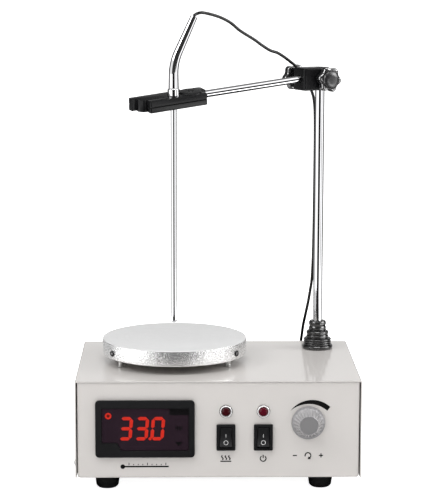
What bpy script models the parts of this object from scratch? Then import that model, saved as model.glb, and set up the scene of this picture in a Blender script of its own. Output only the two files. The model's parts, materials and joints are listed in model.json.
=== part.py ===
"""Magnetic stirrer with a heated plate, a support stand and a temperature probe.

Metres, +Z up. The front panel faces -Y. The origin is under the middle of the object, on the bench.
"""
import math

import bmesh
import bpy
from mathutils import Matrix, Vector

# Clearances: between pieces that touch, and for pieces that turn or slide
FIT = 0.0003
RUN = 0.0003

# How far a cutting tool runs past the faces it cuts
OVER = 0.002
THROUGH = 0.004

# Case
CASE_WIDTH = 0.230
CASE_DEPTH = 0.155
CASE_HEIGHT = 0.0797
COVER_SHEET = 0.0010
COVER_LIP = 0.0006
PAN_SHEET = 0.0012
PANEL_GAP = 0.0009
BEND_RADIUS = 0.0015
FLANGE_HEIGHT = 0.012
PANEL_RETURN = 0.006
VENT_COUNT = 6
VENT_LENGTH = 0.034
VENT_WIDTH = 0.0035
VENT_PITCH = 0.009
VENT_INSET = 0.060
VENT_BACK = 0.112

# Rubber feet
FOOT_HEIGHT = 0.011
FOOT_TOP_RADIUS = 0.0107
FOOT_BOTTOM_RADIUS = 0.0090
FOOT_EDGE = 0.0018
FOOT_STEM_RADIUS = 0.0025
FOOT_STEM_LENGTH = 0.005
FOOT_LEFT_INSET = 0.0252
FOOT_RIGHT_INSET = 0.0319
FOOT_INSET = 0.017

# Screws through the cover's sides into the pan's flanges
SCREW_RADIUS = 0.0015
SCREW_LENGTH = 0.006
SCREW_HEAD_RADIUS = 0.0030
SCREW_HEAD_HEIGHT = 0.0016
SCREW_INSET = 0.022

# Hot plate, its posts and its rim screws
PLATE_INSET = 0.0796
PLATE_BACK = 0.0798
PLATE_RADIUS = 0.060
PLATE_HEIGHT = 0.013
PLATE_EDGE = 0.0006
PLATE_GAP = 0.007
HEATER_RADIUS = 0.0435
HEATER_HEIGHT = 0.006
HEATER_HOLE_RADIUS = 0.006
HEATER_POCKET = 0.008
HEATER_LEAD_RADIUS = 0.004
HEATER_LEAD_X = 0.038
POST_CIRCLE = 0.052
POST_RADIUS = 0.0026
POST_STEM_RADIUS = 0.0016
POST_STEM_UP = 0.005
POST_STEM_DOWN = 0.007
POST_ANGLES = (-148, -32, 90)
RIM_SCREW_RADIUS = 0.0015
RIM_SCREW_LENGTH = 0.005
RIM_SCREW_RISE = 0.0052
RIM_HEAD_RADIUS = 0.0024
RIM_HEAD_HEIGHT = 0.0008

# Stirring drive under the plate
MOTOR_RADIUS = 0.018
MOTOR_HEIGHT = 0.036
MOTOR_NECK_RADIUS = 0.006
MOTOR_NECK_HEIGHT = 0.004
BRACKET_WIDTH = 0.030
BRACKET_SPAN = 0.058
BRACKET_SHEET = 0.0015
BRACKET_FOOT = 0.012
BRACKET_CLEAR = 0.004
SHAFT_RADIUS = 0.0020
SHAFT_LENGTH = 0.016
CARRIER_LENGTH = 0.062
CARRIER_WIDTH = 0.018
CARRIER_HEIGHT = 0.005
MAGNET_RADIUS = 0.0080
MAGNET_HEIGHT = 0.008
MAGNET_CIRCLE = 0.021
MAGNET_CLEAR = 0.003

# Temperature display
DISPLAY_MARGIN = 0.0164
DISPLAY_CLEAR = 0.0174
DISPLAY_Z = 0.0522
DISPLAY_HEIGHT = 0.0468
DISPLAY_CORNER = 0.003
DISPLAY_BEZEL = 0.0022
DISPLAY_BODY_MARGIN = 0.0022
DISPLAY_BODY_DEPTH = 0.022
WINDOW_SHIFT = 0.00015
WINDOW_Z = 0.0518
WINDOW_MARGIN = 0.00485
WINDOW_HEIGHT = 0.0348
WINDOW_STEP_WIDTH = 0.0125
WINDOW_STEP_HEIGHT = 0.0062
WINDOW_STEP_SLANT = 0.0030
WINDOW_SINK = 0.0006
WINDOW_THICKNESS = 0.0015
BOARD_SINK = 0.0060
BOARD_THICKNESS = 0.0016
DIGITS_WIDTH = 0.040
DIGITS_HEIGHT = 0.021
DIGITS_THICKNESS = 0.0025

# Rocker switches and indicator lamps, one above the other in two columns
POWER_INSET = 0.0790
SWITCH_PITCH = 0.0300
SWITCH_Z = 0.0450
SWITCH_WIDTH = 0.0152
SWITCH_HEIGHT = 0.0214
SWITCH_BEZEL = 0.0020
SWITCH_EDGE = 0.0008
SWITCH_BODY_MARGIN = 0.0012
SWITCH_BODY_DEPTH = 0.014
ROCKER_WIDTH = 0.0096
ROCKER_RADIUS = 0.0084
ROCKER_FRONT_ANGLE = 26
ROCKER_REAR_ANGLE = 20
ROCKER_VALLEY = 0.0016
ROCKER_THROW = 20
ROCKER_POCKET = 0.0075
LAMP_Z = 0.0661
LAMP_RING_RADIUS = 0.0053
LAMP_RING_HEIGHT = 0.0018
LAMP_BARREL_RADIUS = 0.0042
LAMP_BARREL_LENGTH = 0.012
LAMP_LENS_RADIUS = 0.0035
LAMP_LENS_DOME = 0.0012
LAMP_LENS_DEPTH = 0.006

# Speed knob on its potentiometer
KNOB_INSET = 0.0430
KNOB_Z = 0.0569
KNOB_SKIRT_RADIUS = 0.0135
KNOB_SKIRT_HEIGHT = 0.0020
KNOB_CONE_RADIUS = 0.0118
KNOB_FRONT_RADIUS = 0.0078
KNOB_HEIGHT = 0.0105
KNOB_CAP_SINK = 0.0004
KNOB_CAP_RADIUS = 0.0069
KNOB_STANDOFF = 0.0008
KNOB_CAVITY_RADIUS = 0.0078
KNOB_CAVITY_DEPTH = 0.0036
KNOB_FLUTES = 18
KNOB_FLUTE_RADIUS = 0.0010
POT_RADIUS = 0.0082
POT_DEPTH = 0.009
POT_BUSH_RADIUS = 0.0042
POT_BUSH_LENGTH = 0.0032
POT_NUT_WIDTH = 0.011
POT_NUT_HEIGHT = 0.0020
POT_SHAFT_RADIUS = 0.0025
POT_SHAFT_IN_KNOB = 0.0050

# Mast, its boot and its nut
MAST_INSET = 0.0274
MAST_BACK = 0.1264
MAST_RADIUS = 0.0040
MAST_TAIL = 0.022
NUT_WIDTH = 0.013
NUT_HEIGHT = 0.0065
BOOT_RADII = (0.01325, 0.0116, 0.0089, 0.00705)
BOOT_TOPS = (0.0048, 0.0082, 0.0157, 0.0243)
BOOT_EDGE = 0.0009
BOOT_DRAFT = 0.0005

# Boss that carries the arm on the mast
BOSS_Z = 0.3235
BOSS_HEIGHT = 0.019
BOSS_FRONT = 0.0080
BOSS_BACK = 0.0110
BOSS_REACH = 0.020
BOSS_EDGE = 0.0010
ARM_SOCKET = 0.012
CLAMP_HEAD_RADIUS = 0.0110
CLAMP_LOBE = 0.0009
CLAMP_LOBES = 6
CLAMP_LOBE_TURN = 8
CLAMP_HEAD_HEIGHT = 0.0075
CLAMP_DOME_RADIUS = 0.0075
CLAMP_DOME_HEIGHT = 0.0030
CLAMP_STUD_RADIUS = 0.0025
MAST_CLAMP_NECK = 0.0018
MAST_CLAMP_NECK_RADIUS = 0.0060
ARM_CLAMP_NECK = 0.0036
ARM_CLAMP_NECK_RADIUS = 0.0035
ARM_CLAMP_ALONG = 0.014

# Arm and probe clip, along the arm's own direction
ARM_YAW = 27.4
ARM_DROOP = 5.9
ARM_RADIUS = 0.0030
PROBE_REACH = 0.1416
CLIP_ROLL = 10
CLIP_HEIGHT = 0.0098
CLIP_BAR = 0.0060
CLIP_SLOT = 0.0080
CLIP_BLOCK_TIP = 0.0313
CLIP_FIXED_TIP = 0.0353
CLIP_MOVING_TIP = 0.0254
CLIP_TAIL = 0.0300
CLIP_MOVING_TAIL = 0.0266
CLIP_ARM_SIDE = 0.0040
CLIP_ARM_DEPTH = 0.0105
CLIP_TAIL_CUT = 0.0010
CLIP_TAIL_CUT_LENGTH = 0.0040
CLIP_SHOULDER = 0.0030
CLIP_GROOVE = 0.0012
CLIP_GROOVE_DEPTH = 0.0009
CLIP_PIN_ALONG = 0.0160
CLIP_PIN_SIDE = 0.0005
CLIP_PIN_RADIUS = 0.0015
CLIP_EAR_RADIUS = 0.0092
CLIP_EAR_HEIGHT = 0.0020
CLIP_EAR_SINK = 0.0014
CLIP_BLOCK_RELIEF = 0.0030
SPRING_COILS = 3
SPRING_RADIUS = 0.0027
SPRING_WIRE_RADIUS = 0.0003
SPRING_PITCH = 0.0011

# Temperature probe
PROBE_TIP_Z = 0.1276
STEM_RADIUS = 0.0025
FERRULE_RADIUS = 0.0050
FERRULE_HEIGHT = 0.0064
FERRULE_SINK = 0.0012
TUBE_RADIUS = 0.0042
TUBE_TOP_RADIUS = 0.0029
TUBE_STRAIGHT = 0.011
TUBE_BEND_RADIUS = 0.040
TUBE_LEAN = 27
TUBE_LEAN_LENGTH = 0.0315

# Probe lead, its plug and its socket
LEAD_RADIUS = 0.00125
LEAD_STEP = 0.0062
LEAD_STUB = 0.004
SOCKET_INSET = 0.039
SOCKET_Z = 0.056
SOCKET_FLANGE_RADIUS = 0.0085
SOCKET_FLANGE_HEIGHT = 0.0030
SOCKET_BARREL_RADIUS = 0.0060
SOCKET_BARREL_LENGTH = 0.012
SOCKET_BORE_RADIUS = 0.0036
SOCKET_BORE_DEPTH = 0.010
PLUG_PIN_RADIUS = 0.0030
PLUG_PIN_LENGTH = 0.008
PLUG_BODY_RADIUS = 0.0055
PLUG_BODY_LENGTH = 0.016
PLUG_TAIL_RADIUS = 0.0026
PLUG_TAIL_LENGTH = 0.007

# Mains inlet and fuse holder in the rear panel
INLET_INSET = 0.049
INLET_Z = 0.046
INLET_FLANGE_WIDTH = 0.031
INLET_FLANGE_HEIGHT = 0.025
INLET_FLANGE = 0.0020
INLET_CORNER = 0.0020
INLET_BODY_WIDTH = 0.0275
INLET_BODY_HEIGHT = 0.0205
INLET_BODY_DEPTH = 0.024
INLET_MOUTH_WIDTH = 0.0240
INLET_MOUTH_HEIGHT = 0.0165
INLET_MOUTH_CUT = 0.0045
INLET_MOUTH_DEPTH = 0.0215
INLET_PIN_WIDTH = 0.0020
INLET_PIN_HEIGHT = 0.0040
INLET_PIN_LENGTH = 0.0145
INLET_PIN_ROOT = 0.001
INLET_PIN_SPREAD = 0.0070
INLET_PIN_RISE = 0.0020
FUSE_PITCH = 0.040
FUSE_Z = 0.046
FUSE_CAP_RADIUS = 0.0075
FUSE_CAP_HEIGHT = 0.012
FUSE_BARREL_RADIUS = 0.0060
FUSE_BARREL_LENGTH = 0.026
FUSE_SLOT_WIDTH = 0.0016
FUSE_SLOT_DEPTH = 0.0016

# Control board on the floor
BOARD_INSET = 0.069
BOARD_BACK = 0.068
BOARD_WIDTH = 0.060
BOARD_DEPTH = 0.044
BOARD_LEG_RADIUS = 0.0025
BOARD_LEG_HEIGHT = 0.006
BOARD_LEG_INSET = 0.005
SINK_WIDTH = 0.030
SINK_DEPTH = 0.006
SINK_HEIGHT = 0.022
CAPACITOR_RADIUS = 0.005
CAPACITOR_HEIGHT = 0.014
CAPACITOR_SPOTS = (-0.014, 0.012)

# Places that follow from the sizes above
PAN_BOTTOM = FOOT_HEIGHT + FIT
FLOOR_TOP = PAN_BOTTOM + PAN_SHEET
CASE_TOP = PAN_BOTTOM + CASE_HEIGHT
COVER_UNDERSIDE = CASE_TOP - COVER_SHEET
PANEL_TOP = COVER_UNDERSIDE - FIT
PANEL_HALF = CASE_WIDTH / 2 - COVER_SHEET - PANEL_GAP
KNOB_OUT = KNOB_STANDOFF + KNOB_HEIGHT
REAR_OUT = FIT + FUSE_CAP_HEIGHT
FRONT_Y = -(CASE_DEPTH + REAR_OUT - KNOB_OUT) / 2
REAR_Y = FRONT_Y + CASE_DEPTH
LEFT_X = -CASE_WIDTH / 2
RIGHT_X = CASE_WIDTH / 2
FOOT_LEFT_X = LEFT_X + FOOT_LEFT_INSET
FOOT_RIGHT_X = RIGHT_X - FOOT_RIGHT_INSET
PLATE_X = LEFT_X + PLATE_INSET
POWER_X = RIGHT_X - POWER_INSET
HEAT_X = POWER_X - SWITCH_PITCH
DISPLAY_LEFT = LEFT_X + DISPLAY_MARGIN
DISPLAY_WIDTH = HEAT_X - SWITCH_WIDTH / 2 - DISPLAY_CLEAR - DISPLAY_LEFT
DISPLAY_X = DISPLAY_LEFT + DISPLAY_WIDTH / 2
WINDOW_WIDTH = DISPLAY_WIDTH - 2 * WINDOW_MARGIN
WINDOW_X = DISPLAY_X + WINDOW_SHIFT
KNOB_X = RIGHT_X - KNOB_INSET
MAST_X = RIGHT_X - MAST_INSET
SOCKET_X = RIGHT_X - SOCKET_INSET
INLET_X = LEFT_X + INLET_INSET
FUSE_X = INLET_X + FUSE_PITCH
BOARD_X = RIGHT_X - BOARD_INSET
VENT_X = RIGHT_X - VENT_INSET
PLATE_BOTTOM = CASE_TOP + PLATE_GAP
PLATE_Y = FRONT_Y + PLATE_BACK
MAST_Y = FRONT_Y + MAST_BACK
MAST_TOP = BOSS_Z + BOSS_HEIGHT / 2 - FIT

PARTS = bpy.data.collections.new("magnetic_stirrer")
TOOLS = bpy.data.collections.new("cutting_tools")


def material(name, color, roughness, metallic=0.0):
    """A Principled material with the piece's own colour and finish."""
    made = bpy.data.materials.new(name)
    made.use_nodes = True
    shader = made.node_tree.nodes["Principled BSDF"]
    shader.inputs["Base Color"].default_value = (*color, 1.0)
    shader.inputs["Roughness"].default_value = roughness
    shader.inputs["Metallic"].default_value = metallic
    made.diffuse_color = (*color, 1.0)
    return made


PAINT = ("paint", (0.66, 0.64, 0.61), 0.35, 0.0)
ALUMINIUM = ("aluminium", (0.78, 0.78, 0.77), 0.38, 1.0)
CHROME = ("chrome", (0.86, 0.86, 0.87), 0.10, 1.0)
STEEL = ("steel", (0.60, 0.60, 0.60), 0.35, 1.0)
BRASS = ("brass", (0.72, 0.55, 0.25), 0.35, 1.0)
BLACK_PLASTIC = ("black_plastic", (0.022, 0.022, 0.024), 0.32, 0.0)
BLACK_RUBBER = ("black_rubber", (0.025, 0.025, 0.025), 0.65, 0.0)
GREY_PLASTIC = ("grey_plastic", (0.36, 0.36, 0.37), 0.35, 0.0)
SMOKED = ("smoked_window", (0.045, 0.035, 0.050), 0.12, 0.0)
RED_LENS = ("red_lens", (0.20, 0.005, 0.015), 0.12, 0.0)
CIRCUIT = ("circuit_board", (0.05, 0.20, 0.09), 0.5, 0.0)
MAGNET = ("magnet", (0.10, 0.10, 0.11), 0.6, 0.0)
CERAMIC = ("ceramic", (0.62, 0.58, 0.52), 0.7, 0.0)


def frame(x, y, z, facing="up"):
    """A place whose local Z points up, down, to the front, to the rear, left or right."""
    turns = {
        "up": Matrix.Identity(4),
        "down": Matrix.Rotation(math.pi, 4, "X"),
        "front": Matrix.Rotation(math.pi / 2, 4, "X"),
        "rear": Matrix.Rotation(-math.pi / 2, 4, "X"),
        "left": Matrix.Rotation(-math.pi / 2, 4, "Y"),
        "right": Matrix.Rotation(math.pi / 2, 4, "Y"),
    }
    return Matrix.Translation((x, y, z)) @ turns[facing]


def axes_frame(origin, along, side, up):
    """A place with the given origin and unit axes."""
    turn = Matrix((along, side, up)).transposed().to_4x4()
    return Matrix.Translation(origin) @ turn


def add_object(name, mesh, look, place):
    """A piece of the stirrer with its own material."""
    made = bpy.data.objects.new(name, mesh)
    PARTS.objects.link(made)
    made.matrix_world = place
    made.data.materials.append(material(name + "_" + look[0], *look[1:]))
    mesh.shade_smooth()
    mesh.set_sharp_from_angle(angle=math.radians(35))
    return made


def mesh_from(bm, name):
    """A mesh datablock that holds what was modelled."""
    mesh = bpy.data.meshes.new(name)
    bm.to_mesh(mesh)
    bm.free()
    return mesh


def add_block(bm, size, place):
    """A box of the given size around a place."""
    bmesh.ops.create_cube(bm, size=1.0, matrix=place @ Matrix.Diagonal((*size, 1.0)))


def add_rod(bm, radius, low, high, place, segments=24, top_radius=None):
    """A cylinder or cone between two heights on a place's local Z."""
    end_radius = radius if top_radius is None else top_radius
    middle = place @ Matrix.Translation((0, 0, (low + high) / 2))
    bmesh.ops.create_cone(
        bm, cap_ends=True, segments=segments, radius1=radius, radius2=end_radius,
        depth=high - low, matrix=middle,
    )


def combine(target, bm, operation, name):
    """Cuts the modelled tool from a piece, or joins it to the piece."""
    tool = bpy.data.objects.new(name, mesh_from(bm, name))
    TOOLS.objects.link(tool)
    tool.hide_render = True
    tool.display_type = "WIRE"
    modifier = target.modifiers.new(name, "BOOLEAN")
    modifier.operation = operation
    modifier.solver = "EXACT"
    modifier.object = tool


def cut(target, bm, name):
    combine(target, bm, "DIFFERENCE", name)


def join(target, bm, name):
    combine(target, bm, "UNION", name)


def bevel(target, width, segments=2, angle=40):
    """Rounds a piece's sharp edges."""
    modifier = target.modifiers.new("edges", "BEVEL")
    modifier.width = width
    modifier.segments = segments
    modifier.limit_method = "ANGLE"
    modifier.angle_limit = math.radians(angle)


def block(name, size, look, place):
    """A plain box around a place."""
    bm = bmesh.new()
    add_block(bm, size, Matrix.Identity(4))
    return add_object(name, mesh_from(bm, name), look, place)


def rod(name, radius, low, high, look, place, segments=24):
    """A plain cylinder between two heights."""
    bm = bmesh.new()
    add_rod(bm, radius, low, high, Matrix.Identity(4), segments)
    return add_object(name, mesh_from(bm, name), look, place)


def turned(name, profile, look, place, steps=24, ring=False):
    """A piece turned round its local Z from (radius, height) points, outer side from top to bottom."""
    bm = bmesh.new()
    points = [bm.verts.new((radius, 0, height)) for radius, height in profile]
    pairs = list(zip(points, points[1:]))
    if ring:
        pairs.append((points[-1], points[0]))
    for first, second in pairs:
        bm.edges.new((first, second))
    made = add_object(name, mesh_from(bm, name), look, place)
    screw = made.modifiers.new("turn", "SCREW")
    screw.steps = steps
    screw.render_steps = steps
    screw.use_merge_vertices = True
    screw.merge_threshold = 0.00001
    screw.use_smooth_shade = True
    return made


def arc(centre, radius, start, end, count):
    """Points on an arc of a circle in a plane, angles in degrees."""
    angles = [math.radians(start + (end - start) * i / count) for i in range(count + 1)]
    return [(centre[0] + radius * math.cos(a), centre[1] + radius * math.sin(a)) for a in angles]


def round_rectangle(width, height, corner, count=3):
    """The outline of a rectangle with round corners around the origin."""
    outline = []
    for sx, sy, start in ((1, 1, 0), (-1, 1, 90), (-1, -1, 180), (1, -1, 270)):
        centre = (sx * (width / 2 - corner), sy * (height / 2 - corner))
        outline += arc(centre, corner, start, start + 90, count)
    return outline


def curve_to_mesh(curve, name):
    """The welded mesh of a curve datablock, which is then removed."""
    holder = bpy.data.objects.new(name + "_curve", curve)
    PARTS.objects.link(holder)
    shaped = holder.evaluated_get(bpy.context.evaluated_depsgraph_get())
    mesh = bpy.data.meshes.new_from_object(shaped)
    bpy.data.objects.remove(holder)
    bpy.data.curves.remove(curve)
    bm = bmesh.new()
    bm.from_mesh(mesh)
    bmesh.ops.remove_doubles(bm, verts=bm.verts, dist=0.000005)
    bm.to_mesh(mesh)
    bm.free()
    mesh.materials.clear()
    return mesh


def outline_mesh(outline, low, high, name):
    """The mesh of a flat outline between two heights."""
    curve = bpy.data.curves.new(name, "CURVE")
    curve.dimensions = "2D"
    curve.fill_mode = "BOTH"
    curve.extrude = (high - low) / 2
    spline = curve.splines.new("POLY")
    spline.points.add(len(outline) - 1)
    for point, (x, y) in zip(spline.points, outline):
        point.co = (x, y, 0, 1)
    spline.use_cyclic_u = True
    mesh = curve_to_mesh(curve, name)
    mesh.transform(Matrix.Translation((0, 0, (low + high) / 2)))
    return mesh


def prism(name, outline, low, high, look, place):
    """A flat outline given a thickness between two heights."""
    return add_object(name, outline_mesh(outline, low, high, name), look, place)


def add_outline(bm, outline, low, high, place):
    """A flat outline with a thickness, as part of a tool."""
    mesh = outline_mesh(outline, low, high, "tool_outline")
    mesh.transform(place)
    bm.from_mesh(mesh)
    bpy.data.meshes.remove(mesh)


def tube(name, points, radius, look, resolution=2, end_radius=None):
    """A round rod along points, with closed ends, that may taper evenly to its end."""
    slimming = 0.0 if end_radius is None else 1 - end_radius / radius
    curve = bpy.data.curves.new(name, "CURVE")
    curve.dimensions = "3D"
    curve.bevel_depth = radius
    curve.bevel_resolution = resolution
    curve.use_fill_caps = True
    spline = curve.splines.new("POLY")
    spline.points.add(len(points) - 1)
    run = [0.0]
    for first, second in zip(points, points[1:]):
        run.append(run[-1] + (second - first).length)
    for point, place, along in zip(spline.points, points, run):
        point.co = (*place, 1)
        point.radius = 1 - slimming * along / run[-1]
    made = bpy.data.objects.new(name, curve)
    PARTS.objects.link(made)
    curve.materials.append(material(name + "_" + look[0], *look[1:]))
    return made


def smooth_route(route, step):
    """Even points on a smooth curve through a route's own points."""
    ends = [route[0] * 2 - route[1]] + route + [route[-1] * 2 - route[-2]]
    fine = []
    for before, start, end, after in zip(ends, ends[1:], ends[2:], ends[3:]):
        for i in range(40):
            t = i / 40
            fine.append(
                0.5 * (
                    2 * start
                    + (end - before) * t
                    + (2 * before - 5 * start + 4 * end - after) * t * t
                    + (3 * start - before - 3 * end + after) * t ** 3
                )
            )
    fine.append(route[-1])
    lengths = [0.0]
    for first, second in zip(fine, fine[1:]):
        lengths.append(lengths[-1] + (second - first).length)
    count = max(2, round(lengths[-1] / step))
    points = []
    place = 0
    for i in range(count + 1):
        wanted = lengths[-1] * i / count
        while place < len(fine) - 2 and lengths[place + 1] < wanted:
            place += 1
        share = (wanted - lengths[place]) / (lengths[place + 1] - lengths[place])
        points.append(fine[place].lerp(fine[place + 1], min(share, 1.0)))
    return points


def open_box(name, size, place, missing, sheet, look):
    """A box of folded sheet with some of its sides left out, as outward unit directions."""
    bm = bmesh.new()
    add_block(bm, size, Matrix.Identity(4))
    gone = [f for f in bm.faces if any(f.normal.dot(Vector(d)) > 0.9 for d in missing)]
    bmesh.ops.delete(bm, geom=gone, context="FACES")
    folds = [e for e in bm.edges if len(e.link_faces) == 2]
    bmesh.ops.bevel(
        bm, geom=folds, offset=BEND_RADIUS, segments=3, affect="EDGES", profile=0.5, clamp_overlap=True,
    )
    made = add_object(name, mesh_from(bm, name), look, place)
    shell = made.modifiers.new("sheet", "SOLIDIFY")
    shell.thickness = sheet
    shell.offset = -1
    shell.use_even_offset = True
    return made


def polar(radius, angle):
    """A point at an angle in degrees on a circle round the plate's axis."""
    return (
        PLATE_X + radius * math.cos(math.radians(angle)),
        PLATE_Y + radius * math.sin(math.radians(angle)),
    )


def foot_places():
    """The middle of each foot, by name."""
    return {
        "foot_front_left": (FOOT_LEFT_X, FRONT_Y + FOOT_INSET),
        "foot_front_right": (FOOT_RIGHT_X, FRONT_Y + FOOT_INSET),
        "foot_rear_left": (FOOT_LEFT_X, REAR_Y - FOOT_INSET),
        "foot_rear_right": (FOOT_RIGHT_X, REAR_Y - FOOT_INSET),
    }


def screw_places():
    """The place and side of each cover screw, by name."""
    height = PAN_BOTTOM + FLANGE_HEIGHT * 0.6
    places = {}
    for side, x in (("left", LEFT_X), ("right", RIGHT_X)):
        places["cover_screw_front_" + side] = frame(x, FRONT_Y + SCREW_INSET, height, side)
        places["cover_screw_rear_" + side] = frame(x, REAR_Y - SCREW_INSET, height, side)
    return places


def make_base_pan():
    """Front panel, floor and rear panel in one folded tray with low sides."""
    height = PANEL_TOP - PAN_BOTTOM
    middle = frame(0, (FRONT_Y + REAR_Y) / 2, PAN_BOTTOM + height / 2)
    pan = open_box(
        "base_pan", (2 * PANEL_HALF, CASE_DEPTH, height), middle, [(0, 0, 1)], PAN_SHEET, PAINT,
    )
    sides = bmesh.new()
    inner_depth = CASE_DEPTH - 2 * PANEL_RETURN
    low_side = PAN_BOTTOM + FLANGE_HEIGHT
    add_block(
        sides, (CASE_WIDTH, inner_depth, 2 * (PANEL_TOP - low_side)),
        frame(0, (FRONT_Y + REAR_Y) / 2, PANEL_TOP),
    )
    cut(pan, sides, "cut_pan_sides")
    holes = bmesh.new()
    add_block(
        holes, (*display_body_size(2 * FIT), 4 * PAN_SHEET), frame(DISPLAY_X, FRONT_Y, DISPLAY_Z, "front"),
    )
    for x in (HEAT_X, POWER_X):
        add_block(holes, (*switch_body_size(2 * FIT), 4 * PAN_SHEET), frame(x, FRONT_Y, SWITCH_Z, "front"))
        add_rod(holes, LAMP_BARREL_RADIUS + FIT, -THROUGH, THROUGH, frame(x, FRONT_Y, LAMP_Z, "front"))
    add_rod(holes, POT_BUSH_RADIUS + FIT, -THROUGH, THROUGH, frame(KNOB_X, FRONT_Y, KNOB_Z, "front"))
    for x, y in foot_places().values():
        add_rod(holes, FOOT_STEM_RADIUS + FIT, -THROUGH, THROUGH, frame(x, y, PAN_BOTTOM), 16)
    for place in screw_places().values():
        add_rod(holes, SCREW_RADIUS + FIT, -SCREW_LENGTH, OVER, place, 12)
    first = -VENT_PITCH * (VENT_COUNT - 1) / 2
    for i in range(VENT_COUNT):
        add_block(
            holes, (VENT_WIDTH, VENT_LENGTH, 4 * PAN_SHEET),
            frame(VENT_X + first + i * VENT_PITCH, FRONT_Y + VENT_BACK, PAN_BOTTOM),
        )
    add_block(
        holes, (INLET_BODY_WIDTH + 2 * FIT, INLET_BODY_HEIGHT + 2 * FIT, 4 * PAN_SHEET),
        frame(INLET_X, REAR_Y, INLET_Z, "rear"),
    )
    add_rod(holes, FUSE_BARREL_RADIUS + FIT, -THROUGH, THROUGH, frame(FUSE_X, REAR_Y, FUSE_Z, "rear"))
    add_rod(holes, SOCKET_BARREL_RADIUS + FIT, -THROUGH, THROUGH, frame(SOCKET_X, REAR_Y, SOCKET_Z, "rear"))
    cut(pan, holes, "cut_pan_holes")


def make_cover():
    """Top and both sides in one folded sheet that drops over the pan."""
    depth = CASE_DEPTH + 2 * COVER_LIP
    middle = frame(0, (FRONT_Y + REAR_Y) / 2, PAN_BOTTOM + CASE_HEIGHT / 2)
    cover = open_box(
        "cover", (CASE_WIDTH, depth, CASE_HEIGHT), middle,
        [(0, 0, -1), (0, 1, 0), (0, -1, 0)], COVER_SHEET, PAINT,
    )
    holes = bmesh.new()
    for angle in POST_ANGLES:
        post = frame(*polar(POST_CIRCLE, angle), CASE_TOP)
        add_rod(holes, POST_STEM_RADIUS + FIT, -THROUGH, THROUGH, post, 16)
    add_rod(
        holes, HEATER_LEAD_RADIUS, -THROUGH, THROUGH,
        frame(PLATE_X + HEATER_LEAD_X, PLATE_Y, CASE_TOP), 16,
    )
    add_rod(holes, MAST_RADIUS + RUN, -THROUGH, THROUGH, frame(MAST_X, MAST_Y, CASE_TOP))
    for place in screw_places().values():
        add_rod(holes, SCREW_RADIUS + FIT, -COVER_SHEET - PANEL_GAP, OVER, place, 12)
    cut(cover, holes, "cut_cover_holes")


def make_feet():
    """Rubber feet with a push-in stem through the floor."""
    flat = FOOT_BOTTOM_RADIUS - FOOT_EDGE
    top = FOOT_HEIGHT + FIT + PAN_SHEET + FOOT_STEM_LENGTH
    profile = [
        (0, top),
        (FOOT_STEM_RADIUS, top),
        (FOOT_STEM_RADIUS, FOOT_HEIGHT),
        (FOOT_TOP_RADIUS, FOOT_HEIGHT),
        (FOOT_BOTTOM_RADIUS, FOOT_EDGE),
        (flat + FOOT_EDGE * 0.7, FOOT_EDGE * 0.3),
        (flat, 0),
        (0, 0),
    ]
    for name, (x, y) in foot_places().items():
        turned(name, profile, BLACK_RUBBER, frame(x, y, 0), 20)


def make_cover_screws():
    """Pan-head screws in the cover's sides."""
    seat = FIT
    head = seat + SCREW_HEAD_HEIGHT
    profile = [
        (0, head),
        (SCREW_HEAD_RADIUS * 0.7, head),
        (SCREW_HEAD_RADIUS, seat + SCREW_HEAD_HEIGHT * 0.4),
        (SCREW_HEAD_RADIUS, seat),
        (SCREW_RADIUS, seat),
        (SCREW_RADIUS, -SCREW_LENGTH),
        (0, -SCREW_LENGTH),
    ]
    for name, place in screw_places().items():
        turned(name, profile, STEEL, place, 12)


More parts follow.
